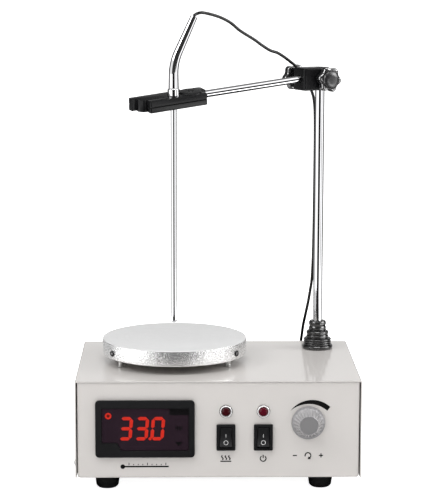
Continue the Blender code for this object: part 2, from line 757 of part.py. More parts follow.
def make_hot_plate():
    """Turned aluminium plate with a pocket for its heater, on three posts, with three rim screws."""
    pocket = HEATER_RADIUS + FIT
    plate = turned(
        "hot_plate",
        [
            (0, PLATE_HEIGHT),
            (PLATE_RADIUS - PLATE_EDGE, PLATE_HEIGHT),
            (PLATE_RADIUS, PLATE_HEIGHT - PLATE_EDGE),
            (PLATE_RADIUS, PLATE_EDGE),
            (PLATE_RADIUS - PLATE_EDGE, 0),
            (pocket, 0),
            (pocket, HEATER_POCKET),
            (0, HEATER_POCKET),
        ],
        ALUMINIUM, frame(PLATE_X, PLATE_Y, PLATE_BOTTOM), 64,
    )
    holes = bmesh.new()
    for angle in POST_ANGLES:
        post = frame(*polar(POST_CIRCLE, angle), PLATE_BOTTOM)
        add_rod(holes, POST_STEM_RADIUS + FIT, -OVER, POST_STEM_UP + FIT, post, 12)
        add_rod(holes, RIM_SCREW_RADIUS + FIT, -RIM_SCREW_LENGTH - FIT, OVER, rim_place(angle), 12)
    cut(plate, holes, "cut_plate_holes")
    ceiling = HEATER_POCKET - FIT
    turned(
        "heater_element",
        [
            (HEATER_RADIUS, ceiling),
            (HEATER_RADIUS, ceiling - HEATER_HEIGHT),
            (HEATER_HOLE_RADIUS, ceiling - HEATER_HEIGHT),
            (HEATER_HOLE_RADIUS, ceiling),
        ],
        CERAMIC, frame(PLATE_X, PLATE_Y, PLATE_BOTTOM), 48, ring=True,
    )
    top = PLATE_GAP - FIT
    for number, angle in enumerate(POST_ANGLES, 1):
        turned(
            f"plate_post_{number}",
            [
                (0, PLATE_GAP + POST_STEM_UP),
                (POST_STEM_RADIUS, PLATE_GAP + POST_STEM_UP),
                (POST_STEM_RADIUS, top),
                (POST_RADIUS, top),
                (POST_RADIUS, FIT),
                (POST_STEM_RADIUS, FIT),
                (POST_STEM_RADIUS, -COVER_SHEET - POST_STEM_DOWN),
                (0, -COVER_SHEET - POST_STEM_DOWN),
            ],
            STEEL, frame(*polar(POST_CIRCLE, angle), CASE_TOP), 12,
        )
        turned(
            f"rim_screw_{number}",
            [
                (0, FIT + RIM_HEAD_HEIGHT),
                (RIM_HEAD_RADIUS * 0.75, FIT + RIM_HEAD_HEIGHT),
                (RIM_HEAD_RADIUS, FIT + RIM_HEAD_HEIGHT * 0.4),
                (RIM_HEAD_RADIUS, FIT),
                (RIM_SCREW_RADIUS, FIT),
                (RIM_SCREW_RADIUS, -RIM_SCREW_LENGTH),
                (0, -RIM_SCREW_LENGTH),
            ],
            STEEL, rim_place(angle), 12,
        )


def rim_place(angle):
    """A place on the plate's rim that faces straight out, below mid height."""
    x, y = polar(PLATE_RADIUS, angle)
    turn = Matrix.Rotation(math.radians(angle), 4, "Z") @ Matrix.Rotation(math.pi / 2, 4, "Y")
    return Matrix.Translation((x, y, PLATE_BOTTOM + RIM_SCREW_RISE)) @ turn


def drive_heights():
    """Heights of the drive under the cover: magnet top, carrier top, carrier underside, bracket top."""
    magnet_top = COVER_UNDERSIDE - MAGNET_CLEAR
    carrier_top = magnet_top - MAGNET_HEIGHT - FIT
    carrier_bottom = carrier_top - CARRIER_HEIGHT
    return magnet_top, carrier_top, carrier_bottom, carrier_bottom - BRACKET_CLEAR


def make_drive():
    """Motor on its bracket, with the magnets on a carrier that turns under the cover."""
    magnet_top, carrier_top, carrier_bottom, bracket_top = drive_heights()
    leg = bracket_top - FLOOR_TOP - FIT
    bracket = open_box(
        "motor_bracket", (BRACKET_SPAN, BRACKET_WIDTH, leg),
        frame(PLATE_X, PLATE_Y, bracket_top - leg / 2),
        [(0, 0, -1), (0, 1, 0), (0, -1, 0)], BRACKET_SHEET, STEEL,
    )
    neck_hole = bmesh.new()
    add_rod(
        neck_hole, MOTOR_NECK_RADIUS + FIT, -BRACKET_SHEET - OVER, OVER,
        frame(PLATE_X, PLATE_Y, bracket_top),
    )
    cut(bracket, neck_hole, "cut_bracket_hole")
    for side in (-1, 1):
        toe = bmesh.new()
        inner = BRACKET_SPAN / 2 - BRACKET_SHEET
        add_block(
            toe, (BRACKET_SHEET + BRACKET_FOOT, BRACKET_WIDTH, BRACKET_SHEET),
            frame(
                PLATE_X + side * (inner + (BRACKET_SHEET + BRACKET_FOOT) / 2), PLATE_Y,
                FLOOR_TOP + FIT + BRACKET_SHEET / 2,
            ),
        )
        join(bracket, toe, f"join_bracket_toe_{side}")
    top = bracket_top - BRACKET_SHEET - FIT
    motor = turned(
        "motor",
        [
            (0, MOTOR_NECK_HEIGHT),
            (MOTOR_NECK_RADIUS, MOTOR_NECK_HEIGHT),
            (MOTOR_NECK_RADIUS, 0),
            (MOTOR_RADIUS, 0),
            (MOTOR_RADIUS, -MOTOR_HEIGHT),
            (0, -MOTOR_HEIGHT),
        ],
        STEEL, frame(PLATE_X, PLATE_Y, top), 32,
    )
    well = bmesh.new()
    shaft_end = carrier_bottom - SHAFT_LENGTH
    add_rod(
        well, SHAFT_RADIUS + RUN, shaft_end - RUN, top + MOTOR_NECK_HEIGHT + OVER,
        frame(PLATE_X, PLATE_Y, 0), 16,
    )
    cut(motor, well, "cut_motor_well")
    carrier = prism(
        "magnet_carrier", round_rectangle(CARRIER_LENGTH, CARRIER_WIDTH, CARRIER_WIDTH * 0.49, 6),
        0, CARRIER_HEIGHT, ALUMINIUM, frame(PLATE_X, PLATE_Y, carrier_bottom),
    )
    shaft = bmesh.new()
    add_rod(
        shaft, SHAFT_RADIUS, shaft_end, carrier_bottom + CARRIER_HEIGHT / 2,
        frame(PLATE_X, PLATE_Y, 0), 16,
    )
    join(carrier, shaft, "join_motor_shaft")
    for name, side in (("magnet_left", -1), ("magnet_right", 1)):
        rod(
            name, MAGNET_RADIUS, 0, magnet_top - carrier_top - FIT, MAGNET,
            frame(PLATE_X + side * MAGNET_CIRCLE, PLATE_Y, carrier_top + FIT), 24,
        )


def display_body_size(extra=0.0):
    """Width and height of the display's body behind the panel."""
    width = DISPLAY_WIDTH - 2 * DISPLAY_BODY_MARGIN + extra
    height = DISPLAY_HEIGHT - 2 * DISPLAY_BODY_MARGIN + extra
    return width, height


def window_outline(inset):
    """The window's outline, with the step in its lower left corner, drawn in by an inset."""
    left = -WINDOW_WIDTH / 2 + inset
    right = WINDOW_WIDTH / 2 - inset
    low = -WINDOW_HEIGHT / 2 + inset
    high = WINDOW_HEIGHT / 2 - inset
    return [
        (right, high),
        (left, high),
        (left, low + WINDOW_STEP_HEIGHT),
        (left + WINDOW_STEP_WIDTH, low + WINDOW_STEP_HEIGHT),
        (left + WINDOW_STEP_WIDTH + WINDOW_STEP_SLANT, low),
        (right, low),
    ]


def make_display():
    """Snap-in temperature display: housing, window and board."""
    place = frame(DISPLAY_X, FRONT_Y, DISPLAY_Z, "front")
    window = frame(WINDOW_X, FRONT_Y, WINDOW_Z, "front")
    front = FIT + DISPLAY_BEZEL
    housing = prism(
        "display_housing", round_rectangle(DISPLAY_WIDTH, DISPLAY_HEIGHT, DISPLAY_CORNER, 4),
        FIT, front, BLACK_PLASTIC, place,
    )
    bevel(housing, DISPLAY_BEZEL * 0.3)
    body = bmesh.new()
    body_top = FIT + DISPLAY_BEZEL / 2
    add_block(
        body, (*display_body_size(), DISPLAY_BODY_DEPTH + body_top),
        place @ Matrix.Translation((0, 0, (body_top - DISPLAY_BODY_DEPTH) / 2)),
    )
    join(housing, body, "join_display_body")
    floor = front - BOARD_SINK - BOARD_THICKNESS - DIGITS_THICKNESS
    pocket = bmesh.new()
    add_outline(pocket, window_outline(0), floor, front + OVER, window)
    cut(housing, pocket, "cut_display_pocket")
    pane_top = front - WINDOW_SINK
    prism("display_window", window_outline(FIT), pane_top - WINDOW_THICKNESS, pane_top, SMOKED, window)
    board_top = floor + FIT + BOARD_THICKNESS
    board = prism("display_board", window_outline(2 * FIT), floor + FIT, board_top, CIRCUIT, window)
    digits = bmesh.new()
    add_block(
        digits, (DIGITS_WIDTH, DIGITS_HEIGHT, DIGITS_THICKNESS),
        window @ Matrix.Translation((0, 0, board_top - BOARD_THICKNESS / 2 + DIGITS_THICKNESS / 2)),
    )
    join(board, digits, "join_display_digits")


def switch_body_size(extra=0.0):
    """Width and height of a switch's body behind the panel."""
    return SWITCH_WIDTH - 2 * SWITCH_BODY_MARGIN + extra, SWITCH_HEIGHT - 2 * SWITCH_BODY_MARGIN + extra


def rocker_outline():
    """A rocker's section: two sloping front faces between ends that are arcs round the pivot."""
    low_end = arc((0, 0), ROCKER_RADIUS, -90 - ROCKER_REAR_ANGLE, -90 + ROCKER_FRONT_ANGLE, 4)
    high_end = arc((0, 0), ROCKER_RADIUS, 90 - ROCKER_FRONT_ANGLE, 90 + ROCKER_REAR_ANGLE, 4)
    return low_end + [(ROCKER_VALLEY, 0)] + high_end


def make_switch(name, x):
    """A snap-in rocker switch, pressed at its upper end."""
    place = frame(x, FRONT_Y, SWITCH_Z, "front")
    front = FIT + SWITCH_BEZEL
    housing = prism(
        name + "_switch", round_rectangle(SWITCH_WIDTH, SWITCH_HEIGHT, SWITCH_EDGE, 2),
        FIT, front, BLACK_PLASTIC, place,
    )
    bevel(housing, SWITCH_EDGE * 0.6)
    body = bmesh.new()
    body_top = FIT + SWITCH_BEZEL / 2
    add_block(
        body, (*switch_body_size(), SWITCH_BODY_DEPTH + body_top),
        place @ Matrix.Translation((0, 0, (body_top - SWITCH_BODY_DEPTH) / 2)),
    )
    join(housing, body, f"join_{name}_body")
    pocket = bmesh.new()
    add_block(
        pocket, (ROCKER_WIDTH + 2 * RUN, 2 * (ROCKER_RADIUS + RUN), ROCKER_POCKET + front + OVER),
        place @ Matrix.Translation((0, 0, (front + OVER - ROCKER_POCKET) / 2)),
    )
    cut(housing, pocket, f"cut_{name}_pocket")
    pressed = Matrix.Rotation(math.radians(-ROCKER_THROW / 2), 4, "X")
    section = Matrix(((0, 0, 1, 0), (-1, 0, 0, 0), (0, 1, 0, 0), (0, 0, 0, 1)))
    prism(
        name + "_rocker", rocker_outline(), -ROCKER_WIDTH / 2, ROCKER_WIDTH / 2, BLACK_PLASTIC,
        frame(x, FRONT_Y, SWITCH_Z) @ pressed @ section,
    )


def make_lamp(name, x):
    """An indicator lamp: chromed ring with a barrel through the panel, and its lens."""
    place = frame(x, FRONT_Y, LAMP_Z, "front")
    bore = LAMP_LENS_RADIUS + FIT
    ring_top = FIT + LAMP_RING_HEIGHT
    turned(
        name + "_lamp_bezel",
        [
            (bore, ring_top),
            (LAMP_RING_RADIUS - LAMP_RING_HEIGHT * 0.4, ring_top),
            (LAMP_RING_RADIUS, FIT + LAMP_RING_HEIGHT * 0.5),
            (LAMP_RING_RADIUS, FIT),
            (LAMP_BARREL_RADIUS, FIT),
            (LAMP_BARREL_RADIUS, -LAMP_BARREL_LENGTH),
            (bore, -LAMP_BARREL_LENGTH),
        ],
        CHROME, place, 24, ring=True,
    )
    turned(
        name + "_lamp_lens",
        [
            (0, ring_top + LAMP_LENS_DOME),
            (LAMP_LENS_RADIUS * 0.6, ring_top + LAMP_LENS_DOME * 0.8),
            (LAMP_LENS_RADIUS, ring_top),
            (LAMP_LENS_RADIUS, ring_top - LAMP_LENS_DEPTH),
            (0, ring_top - LAMP_LENS_DEPTH),
        ],
        RED_LENS, place, 20,
    )


def hexagon(width):
    """A hexagon's outline, by its width across flats."""
    return arc((0, 0), width / math.sqrt(3), 0, 300, 5)


def make_speed_control():
    """Potentiometer behind the panel, its nut, its shaft and the fluted knob."""
    place = frame(KNOB_X, FRONT_Y, KNOB_Z, "front")
    behind = -PAN_SHEET - FIT
    pot = turned(
        "speed_pot",
        [
            (0, POT_BUSH_LENGTH),
            (POT_BUSH_RADIUS, POT_BUSH_LENGTH),
            (POT_BUSH_RADIUS, behind),
            (POT_RADIUS, behind),
            (POT_RADIUS, behind - POT_DEPTH),
            (0, behind - POT_DEPTH),
        ],
        STEEL, place, 24,
    )
    well = bmesh.new()
    shaft_low = behind - POT_DEPTH / 2
    add_rod(well, POT_SHAFT_RADIUS + RUN, shaft_low - RUN, POT_BUSH_LENGTH + OVER, place, 16)
    cut(pot, well, "cut_pot_well")
    nut = prism("pot_nut", hexagon(POT_NUT_WIDTH), FIT, FIT + POT_NUT_HEIGHT, BRASS, place)
    nut_hole = bmesh.new()
    add_rod(nut_hole, POT_BUSH_RADIUS + FIT, -OVER, FIT + POT_NUT_HEIGHT + OVER, place)
    cut(nut, nut_hole, "cut_pot_nut")
    cavity = KNOB_STANDOFF + KNOB_CAVITY_DEPTH
    shaft_top = cavity + POT_SHAFT_IN_KNOB
    rod("pot_shaft", POT_SHAFT_RADIUS, shaft_low, shaft_top, STEEL, place, 16)
    front = KNOB_STANDOFF + KNOB_HEIGHT
    skirt_top = KNOB_STANDOFF + KNOB_SKIRT_HEIGHT
    knob = turned(
        "speed_knob",
        [
            (0, front - KNOB_CAP_SINK),
            (KNOB_CAP_RADIUS, front - KNOB_CAP_SINK),
            (KNOB_CAP_RADIUS, front),
            (KNOB_FRONT_RADIUS, front),
            (KNOB_CONE_RADIUS, skirt_top),
            (KNOB_SKIRT_RADIUS, skirt_top - KNOB_SKIRT_HEIGHT * 0.3),
            (KNOB_SKIRT_RADIUS, KNOB_STANDOFF),
            (KNOB_CAVITY_RADIUS, KNOB_STANDOFF),
            (KNOB_CAVITY_RADIUS, cavity),
            (POT_SHAFT_RADIUS + FIT, cavity),
            (POT_SHAFT_RADIUS + FIT, shaft_top + FIT),
            (0, shaft_top + FIT),
        ],
        GREY_PLASTIC, place, 36,
    )
    flutes = bmesh.new()
    slope = math.atan2(KNOB_CONE_RADIUS - KNOB_FRONT_RADIUS, front - skirt_top)
    for i in range(KNOB_FLUTES):
        turn = Matrix.Rotation(2 * math.pi * i / KNOB_FLUTES, 4, "Z")
        lean = Matrix.Rotation(-slope, 4, "Y")
        foot = Matrix.Translation((KNOB_CONE_RADIUS + KNOB_FLUTE_RADIUS * 0.3, 0, skirt_top))
        add_rod(
            flutes, KNOB_FLUTE_RADIUS, KNOB_SKIRT_HEIGHT * 0.3, KNOB_HEIGHT + OVER,
            place @ turn @ foot @ lean, 8,
        )
    cut(knob, flutes, "cut_knob_flutes")


def make_mast():
    """Chromed mast through the cover, its nut underneath and the stepped rubber boot on top."""
    axis = frame(MAST_X, MAST_Y, 0)
    rod("mast", MAST_RADIUS, COVER_UNDERSIDE - MAST_TAIL, MAST_TOP, CHROME, axis, 32)
    nut_top = COVER_UNDERSIDE - FIT
    nut = prism("mast_nut", hexagon(NUT_WIDTH), nut_top - NUT_HEIGHT, nut_top, STEEL, axis)
    nut_hole = bmesh.new()
    add_rod(nut_hole, MAST_RADIUS + RUN, nut_top - NUT_HEIGHT - OVER, nut_top + OVER, axis)
    cut(nut, nut_hole, "cut_mast_nut")
    seat = CASE_TOP + FIT
    bore = MAST_RADIUS + RUN
    profile = [(bore, seat), (bore, CASE_TOP + BOOT_TOPS[-1])]
    lows = (seat,) + tuple(CASE_TOP + top for top in BOOT_TOPS[:-1])
    for radius, top, low in reversed(list(zip(BOOT_RADII, BOOT_TOPS, lows))):
        high = CASE_TOP + top
        profile += [(radius - BOOT_EDGE, high), (radius - BOOT_EDGE * 0.25, high - BOOT_EDGE * 0.4)]
        profile += [(radius, high - BOOT_EDGE * 1.2), (radius - BOOT_DRAFT, low)]
    turned("mast_boot", profile, BLACK_RUBBER, axis, 32, ring=True)


def arm_axes():
    """The boss's level axes, to the arm and to the front, and the drooping arm's direction."""
    yaw = math.radians(ARM_YAW)
    droop = math.radians(ARM_DROOP)
    level = Vector((-math.cos(yaw), -math.sin(yaw), 0))
    front = Vector((math.sin(yaw), -math.cos(yaw), 0))
    arm = level * math.cos(droop) - Vector((0, 0, math.sin(droop)))
    return level, front, arm


def boss_frame():
    """The boss's place: X along the boss to the arm, Y towards the front, origin on the mast's axis."""
    level, front, _ = arm_axes()
    return axes_frame(Vector((MAST_X, MAST_Y, BOSS_Z)), level, front, Vector((0, 0, 1)))


def arm_frame():
    """The arm's place: Z along the arm from the boss's end face towards the clip."""
    level, front, arm = arm_axes()
    start = Vector((MAST_X, MAST_Y, BOSS_Z)) + level * BOSS_REACH
    return axes_frame(start, front, arm.cross(front), arm)


def clip_frame():
    """The clip's place: X along the arm, Y towards the front and Z up, rolled with the arm, at the probe."""
    level, front, arm = arm_axes()
    roll = math.radians(CLIP_ROLL)
    up = arm.cross(front)
    side = front * math.cos(roll) - up * math.sin(roll)
    over = up * math.cos(roll) + front * math.sin(roll)
    start = Vector((MAST_X, MAST_Y, BOSS_Z)) + level * BOSS_REACH
    along = (PROBE_REACH - BOSS_REACH) / math.cos(math.radians(ARM_DROOP))
    return axes_frame(start + arm * along + side * CLIP_ARM_SIDE, arm, side, over)


def clamp_knob(name, place, stud, neck, neck_radius):
    """A lobed hand knob with its neck and stud, local Z outwards from the boss's face."""
    low = FIT + neck
    high = low + CLAMP_HEAD_HEIGHT
    mean = CLAMP_HEAD_RADIUS - CLAMP_LOBE
    turn = math.radians(CLAMP_LOBE_TURN)
    outline = []
    for i in range(CLAMP_LOBES * 8):
        angle = 2 * math.pi * i / (CLAMP_LOBES * 8)
        radius = mean + CLAMP_LOBE * math.cos(CLAMP_LOBES * angle)
        outline.append((radius * math.cos(angle - turn), radius * math.sin(angle - turn)))
    head = prism(name, outline, low, high, BLACK_PLASTIC, place)
    bevel(head, CLAMP_HEAD_HEIGHT * 0.12, 1)
    core = bmesh.new()
    add_rod(core, neck_radius, FIT, low + CLAMP_HEAD_HEIGHT / 2, place, 20)
    join(head, core, f"join_{name}_neck")
    dome = bmesh.new()
    add_rod(
        dome, CLAMP_DOME_RADIUS, high - CLAMP_DOME_HEIGHT, high + CLAMP_DOME_HEIGHT * 0.5, place, 24,
        CLAMP_DOME_RADIUS * 0.96,
    )
    join(head, dome, f"join_{name}_dome")
    crown = bmesh.new()
    add_rod(
        crown, CLAMP_DOME_RADIUS * 0.94, high, high + CLAMP_DOME_HEIGHT, place, 24,
        CLAMP_DOME_RADIUS * 0.6,
    )
    join(head, crown, f"join_{name}_crown")
    pin = bmesh.new()
    add_rod(pin, CLAMP_STUD_RADIUS, -stud, low, place, 16)
    join(head, pin, f"join_{name}_stud")


def make_boss():
    """Clamp block on the mast that holds the arm, with a hand knob for each rod."""
    place = boss_frame()
    outline = [(BOSS_REACH, -BOSS_BACK), (BOSS_REACH, BOSS_FRONT)]
    outline += arc((0, 0), BOSS_FRONT, 90, 180, 6)
    outline += arc((BOSS_BACK - BOSS_FRONT, 0), BOSS_BACK, 180, 270, 6)
    boss = prism("boss_body", outline, -BOSS_HEIGHT / 2, BOSS_HEIGHT / 2, BLACK_PLASTIC, place)
    bevel(boss, BOSS_EDGE, 2)
    bores = bmesh.new()
    add_rod(bores, MAST_RADIUS + RUN, -BOSS_HEIGHT, BOSS_HEIGHT, place)
    add_rod(bores, ARM_RADIUS + RUN, -ARM_SOCKET - RUN, THROUGH, arm_frame())
    cut(boss, bores, "cut_boss_rods")
    studs = bmesh.new()
    mast_stud = clamp_place(place, 0, 1)
    arm_stud = clamp_place(place, ARM_CLAMP_ALONG, -1)
    add_rod(studs, CLAMP_STUD_RADIUS + RUN, -BOSS_FRONT, OVER, mast_stud, 16)
    add_rod(studs, CLAMP_STUD_RADIUS + RUN, -BOSS_BACK, OVER, arm_stud, 16)
    cut(boss, studs, "cut_boss_studs")
    clamp_knob(
        "mast_clamp_knob", mast_stud, BOSS_FRONT - MAST_RADIUS - RUN, MAST_CLAMP_NECK, MAST_CLAMP_NECK_RADIUS,
    )
    clamp_knob(
        "arm_clamp_knob", arm_stud, BOSS_BACK - ARM_RADIUS - 2 * RUN, ARM_CLAMP_NECK, ARM_CLAMP_NECK_RADIUS,
    )


def clamp_place(place, along, side):
    """A place on one face of the boss that faces outwards, at the height of the rod it clamps."""
    drop = max(0.0, BOSS_REACH - along) * math.tan(math.radians(ARM_DROOP)) if along else 0.0
    face = BOSS_FRONT if side > 0 else -BOSS_BACK
    at = place @ Matrix.Translation((along, face, drop))
    return at @ Matrix.Rotation(-side * math.pi / 2, 4, "X")


def make_arm():
    """Chromed arm from its socket in the boss to its socket in the clip."""
    along = (PROBE_REACH - BOSS_REACH) / math.cos(math.radians(ARM_DROOP))
    end = along - CLIP_TAIL + CLIP_ARM_DEPTH
    rod("arm", ARM_RADIUS, -ARM_SOCKET, end, CHROME, arm_frame(), 24)


def clip_sides():
    """Sides of the clip's slot and the outer sides of its two bars, across the clip."""
    half = CLIP_SLOT / 2
    return half, half + CLIP_BAR


def probe_side():
    """How far the probe's axis is from the clip's middle, pressed to the slot's front by the moving jaw."""
    half, _ = clip_sides()
    return half - FIT - STEM_RADIUS


def probe_point():
    """The probe's axis at the clip's mid height."""
    return clip_frame() @ Vector((0, probe_side(), 0))


def make_clip():
    """Probe clip: a fixed jaw on the arm, a moving jaw, and the pin and spring between them."""
    place = clip_frame()
    half, outer = clip_sides()
    low, high = -CLIP_HEIGHT / 2, CLIP_HEIGHT / 2
    block_side = half - FIT
    bar_end = -half
    tip = arc((CLIP_BLOCK_TIP - half, 0), block_side, 90, 0, 4)
    fixed_outline = [
        (-CLIP_TAIL, -outer + CLIP_TAIL_CUT),
        (-CLIP_TAIL + CLIP_TAIL_CUT_LENGTH, -outer),
        (CLIP_FIXED_TIP, -outer),
        (CLIP_FIXED_TIP, bar_end),
        (CLIP_BLOCK_TIP - FIT, bar_end),
        *reversed(tip),
        (-CLIP_PIN_ALONG + CLIP_SHOULDER, block_side),
        (-CLIP_TAIL, block_side - CLIP_BLOCK_RELIEF),
    ]
    fixed = prism("clip_fixed_jaw", fixed_outline, low, high, BLACK_PLASTIC, place)
    hinge = place @ Matrix.Translation((-CLIP_PIN_ALONG, CLIP_PIN_SIDE, 0))
    holes = bmesh.new()
    add_rod(holes, CLIP_PIN_RADIUS + FIT, -CLIP_HEIGHT, CLIP_HEIGHT, hinge, 16)
    add_rod(
        holes, ARM_RADIUS + FIT, -CLIP_TAIL - THROUGH, -CLIP_TAIL + CLIP_ARM_DEPTH + FIT,
        place @ Matrix.Translation((0, -CLIP_ARM_SIDE, 0)) @ Matrix.Rotation(math.pi / 2, 4, "Y"),
    )
    cut(fixed, holes, "cut_clip_holes")
    well = bmesh.new()
    spring_space = SPRING_COILS * SPRING_PITCH + 2 * SPRING_WIRE_RADIUS + 2 * FIT
    ear_seat = high - CLIP_EAR_SINK
    add_rod(
        well, SPRING_RADIUS + SPRING_WIRE_RADIUS + FIT, ear_seat - spring_space, high + OVER, hinge, 20,
    )
    cut(fixed, well, "cut_spring_well")
    recess = bmesh.new()
    add_rod(recess, CLIP_EAR_RADIUS + RUN, ear_seat, high + OVER, hinge, 32)
    cut(fixed, recess, "cut_ear_recess")
    cut(fixed, probe_seat(), "cut_probe_seat")
    cut(fixed, ferrule_seat(), "cut_ferrule_seat")
    _, front, _ = arm_axes()
    upright = Vector((0, 0, 1))
    mouth = axes_frame(probe_point(), front, upright.cross(front), upright)
    slot = bmesh.new()
    add_block(
        slot, (CLIP_SLOT, 2 * (STEM_RADIUS + FIT) * 0.99, 2 * CLIP_HEIGHT),
        mouth @ Matrix.Translation((CLIP_SLOT / 2, 0, 0)),
    )
    cut(fixed, slot, "cut_probe_slot")
    cut(fixed, rib_grooves(place, -outer), "cut_fixed_ribs")
    moving_outline = [
        (-CLIP_MOVING_TAIL, half),
        (CLIP_MOVING_TIP, half),
        (CLIP_MOVING_TIP, outer),
        (-CLIP_MOVING_TAIL, outer),
    ]
    moving = prism(
        "clip_moving_jaw",
        [(x + CLIP_PIN_ALONG, y - CLIP_PIN_SIDE) for x, y in moving_outline],
        low, high, BLACK_PLASTIC, hinge,
    )
    ear = bmesh.new()
    ear_top = ear_seat + FIT + CLIP_EAR_HEIGHT
    add_rod(ear, CLIP_EAR_RADIUS, ear_seat + FIT, ear_top, hinge, 32)
    join(moving, ear, "join_ear")
    pin_hole = bmesh.new()
    add_rod(pin_hole, CLIP_PIN_RADIUS + RUN, -2 * CLIP_HEIGHT, 2 * CLIP_HEIGHT, hinge, 16)
    cut(moving, pin_hole, "cut_jaw_pin")
    cut(moving, probe_seat(), "cut_jaw_seat")
    cut(moving, ferrule_seat(), "cut_jaw_ferrule")
    cut(moving, rib_grooves(place, outer), "cut_moving_ribs")
    rod("clip_pin", CLIP_PIN_RADIUS, low, ear_top, STEEL, hinge, 16)
    make_spring(hinge, ear_seat - spring_space + FIT + SPRING_WIRE_RADIUS)


def probe_seat():
    """The upright round seat for the probe's stem."""
    seat = bmesh.new()
    add_rod(seat, STEM_RADIUS + FIT, -CLIP_HEIGHT, CLIP_HEIGHT, Matrix.Translation(probe_point()), 20)
    return seat


def ferrule_seat():
    """The upright round recess that the probe's ferrule rests in."""
    seat = bmesh.new()
    axis = probe_point()
    floor = ferrule_bottom() - FIT
    top = floor + 2 * FERRULE_HEIGHT
    add_rod(seat, FERRULE_RADIUS + FIT, floor, top, frame(axis.x, axis.y, 0), 24)
    return seat


def ferrule_bottom():
    """Height of the ferrule's underside, sunk into the clip's sloping top."""
    axis = clip_frame() @ Vector((0, probe_side(), CLIP_HEIGHT / 2))
    return axis.z - FERRULE_SINK


def rib_grooves(place, side):
    """The groove along a bar's outer side that leaves two ribs."""
    groove = bmesh.new()
    add_block(
        groove, (3 * CLIP_TAIL, 2 * CLIP_GROOVE_DEPTH, CLIP_GROOVE),
        place @ Matrix.Translation((0, side, 0)),
    )
    return groove


def make_spring(hinge, start):
    """The torsion spring round the clip's pin, wound from a helix."""
    per_turn = 10
    points = []
    for i in range(SPRING_COILS * per_turn + 1):
        angle = 2 * math.pi * i / per_turn
        points.append(
            hinge @ Vector(
                (
                    SPRING_RADIUS * math.cos(angle),
                    SPRING_RADIUS * math.sin(angle),
                    start + SPRING_PITCH * i / per_turn,
                )
            )
        )
    gap = SPRING_PITCH - 2 * SPRING_WIRE_RADIUS
    print("clip spring: least gap between turns", round(1000 * gap, 2), "mm")
    tube("clip_spring", points, SPRING_WIRE_RADIUS, STEEL, 1)


def tube_points():
    """The handle tube's centre line: upright from the ferrule, then leaning back towards the boss."""
    level, _, _ = arm_axes()
    start = probe_point()
    start.z = ferrule_bottom() + FERRULE_HEIGHT + FIT
    lean = math.radians(TUBE_LEAN)
    bend_start = start + Vector((0, 0, TUBE_STRAIGHT))
    points = [start, start.lerp(bend_start, 0.5)]
    for i in range(9):
        angle = lean * i / 8
        over = -level * TUBE_BEND_RADIUS * (1 - math.cos(angle))
        points.append(bend_start + over + Vector((0, 0, TUBE_BEND_RADIUS * math.sin(angle))))
    direction = -level * math.sin(lean) + Vector((0, 0, math.cos(lean)))
    points.append(points[-1] + direction * TUBE_LEAN_LENGTH)
    return points


def make_probe():
    """Temperature probe: stem through the clip, ferrule resting on it, and the bent handle tube."""
    axis = probe_point()
    seat = ferrule_bottom()
    stem_top = seat + FERRULE_HEIGHT * 0.6
    turned(
        "probe_stem",
        [
            (0, stem_top),
            (STEM_RADIUS, stem_top),
            (STEM_RADIUS, PROBE_TIP_Z + STEM_RADIUS),
            (STEM_RADIUS * 0.75, PROBE_TIP_Z + STEM_RADIUS * 0.34),
            (STEM_RADIUS * 0.35, PROBE_TIP_Z + STEM_RADIUS * 0.06),
            (0, PROBE_TIP_Z),
        ],
        CHROME, frame(axis.x, axis.y, 0), 20,
    )
    bore = STEM_RADIUS + FIT
    edge = FERRULE_HEIGHT * 0.1
    turned(
        "probe_ferrule",
        [
            (0, seat + FERRULE_HEIGHT),
            (FERRULE_RADIUS - edge, seat + FERRULE_HEIGHT),
            (FERRULE_RADIUS, seat + FERRULE_HEIGHT - edge),
            (FERRULE_RADIUS, seat),
            (bore, seat),
            (bore, stem_top + FIT),
            (0, stem_top + FIT),
        ],
        CHROME, frame(axis.x, axis.y, 0), 24,
    )
    tube("probe_tube", tube_points(), TUBE_RADIUS, CHROME, 3, TUBE_TOP_RADIUS)


def by_mast(x, y, z):
    """A point given from the mast's axis and the bench, in millimetres."""
    return Vector((MAST_X + x / 1000, MAST_Y + y / 1000, z / 1000))


# The lead's own points from the mast's axis and the bench, in millimetres: from the handle to the boss
UPPER_ROUTE = [
    (-100.6, -52.1, 380.4),
    (-92.1, -46.4, 378.6),
    (-84.2, -40.9, 375.8),
    (-76.3, -35.7, 371.4),
    (-68.2, -30.2, 364.6),
    (-57.3, -22.9, 357.7),
    (-49.1, -17.5, 351.7),
    (-42.2, -12.8, 347.4),
    (-36.7, -8.8, 345.6),
    (-30.2, -3.5, 341.4),
    (-23.6, 2.2, 336.3),
]

# From the boss down behind the mast and back to the plug
LOWER_ROUTE = [
    (-18.3, 5.0, 331.8),
    (-14.0, 7.3, 327.2),
    (-10.4, 9.1, 320.0),
    (-6.9, 10.9, 313.5),
    (-4.6, 11.2, 307.0),
    (-3.6, 9.8, 299.0),
    (-3.3, 8.0, 289.0),
    (-3.2, 7.1, 270.0),
    (-3.3, 7.0, 230.0),
    (-3.5, 7.0, 200.0),
    (-3.8, 7.2, 176.0),
    (-4.1, 9.0, 161.2),
    (-4.4, 12.6, 149.0),
    (-5.3, 19.0, 138.3),
    (-6.4, 28.0, 126.0),
    (-8.0, 37.5, 113.4),
    (-9.3, 48.0, 101.5),
    (-9.9, 58.0, 90.0),
    (-10.7, 65.4, 79.0),
    (-11.4, 68.2, 69.5),
    (-11.6, 65.9, 61.0),
]


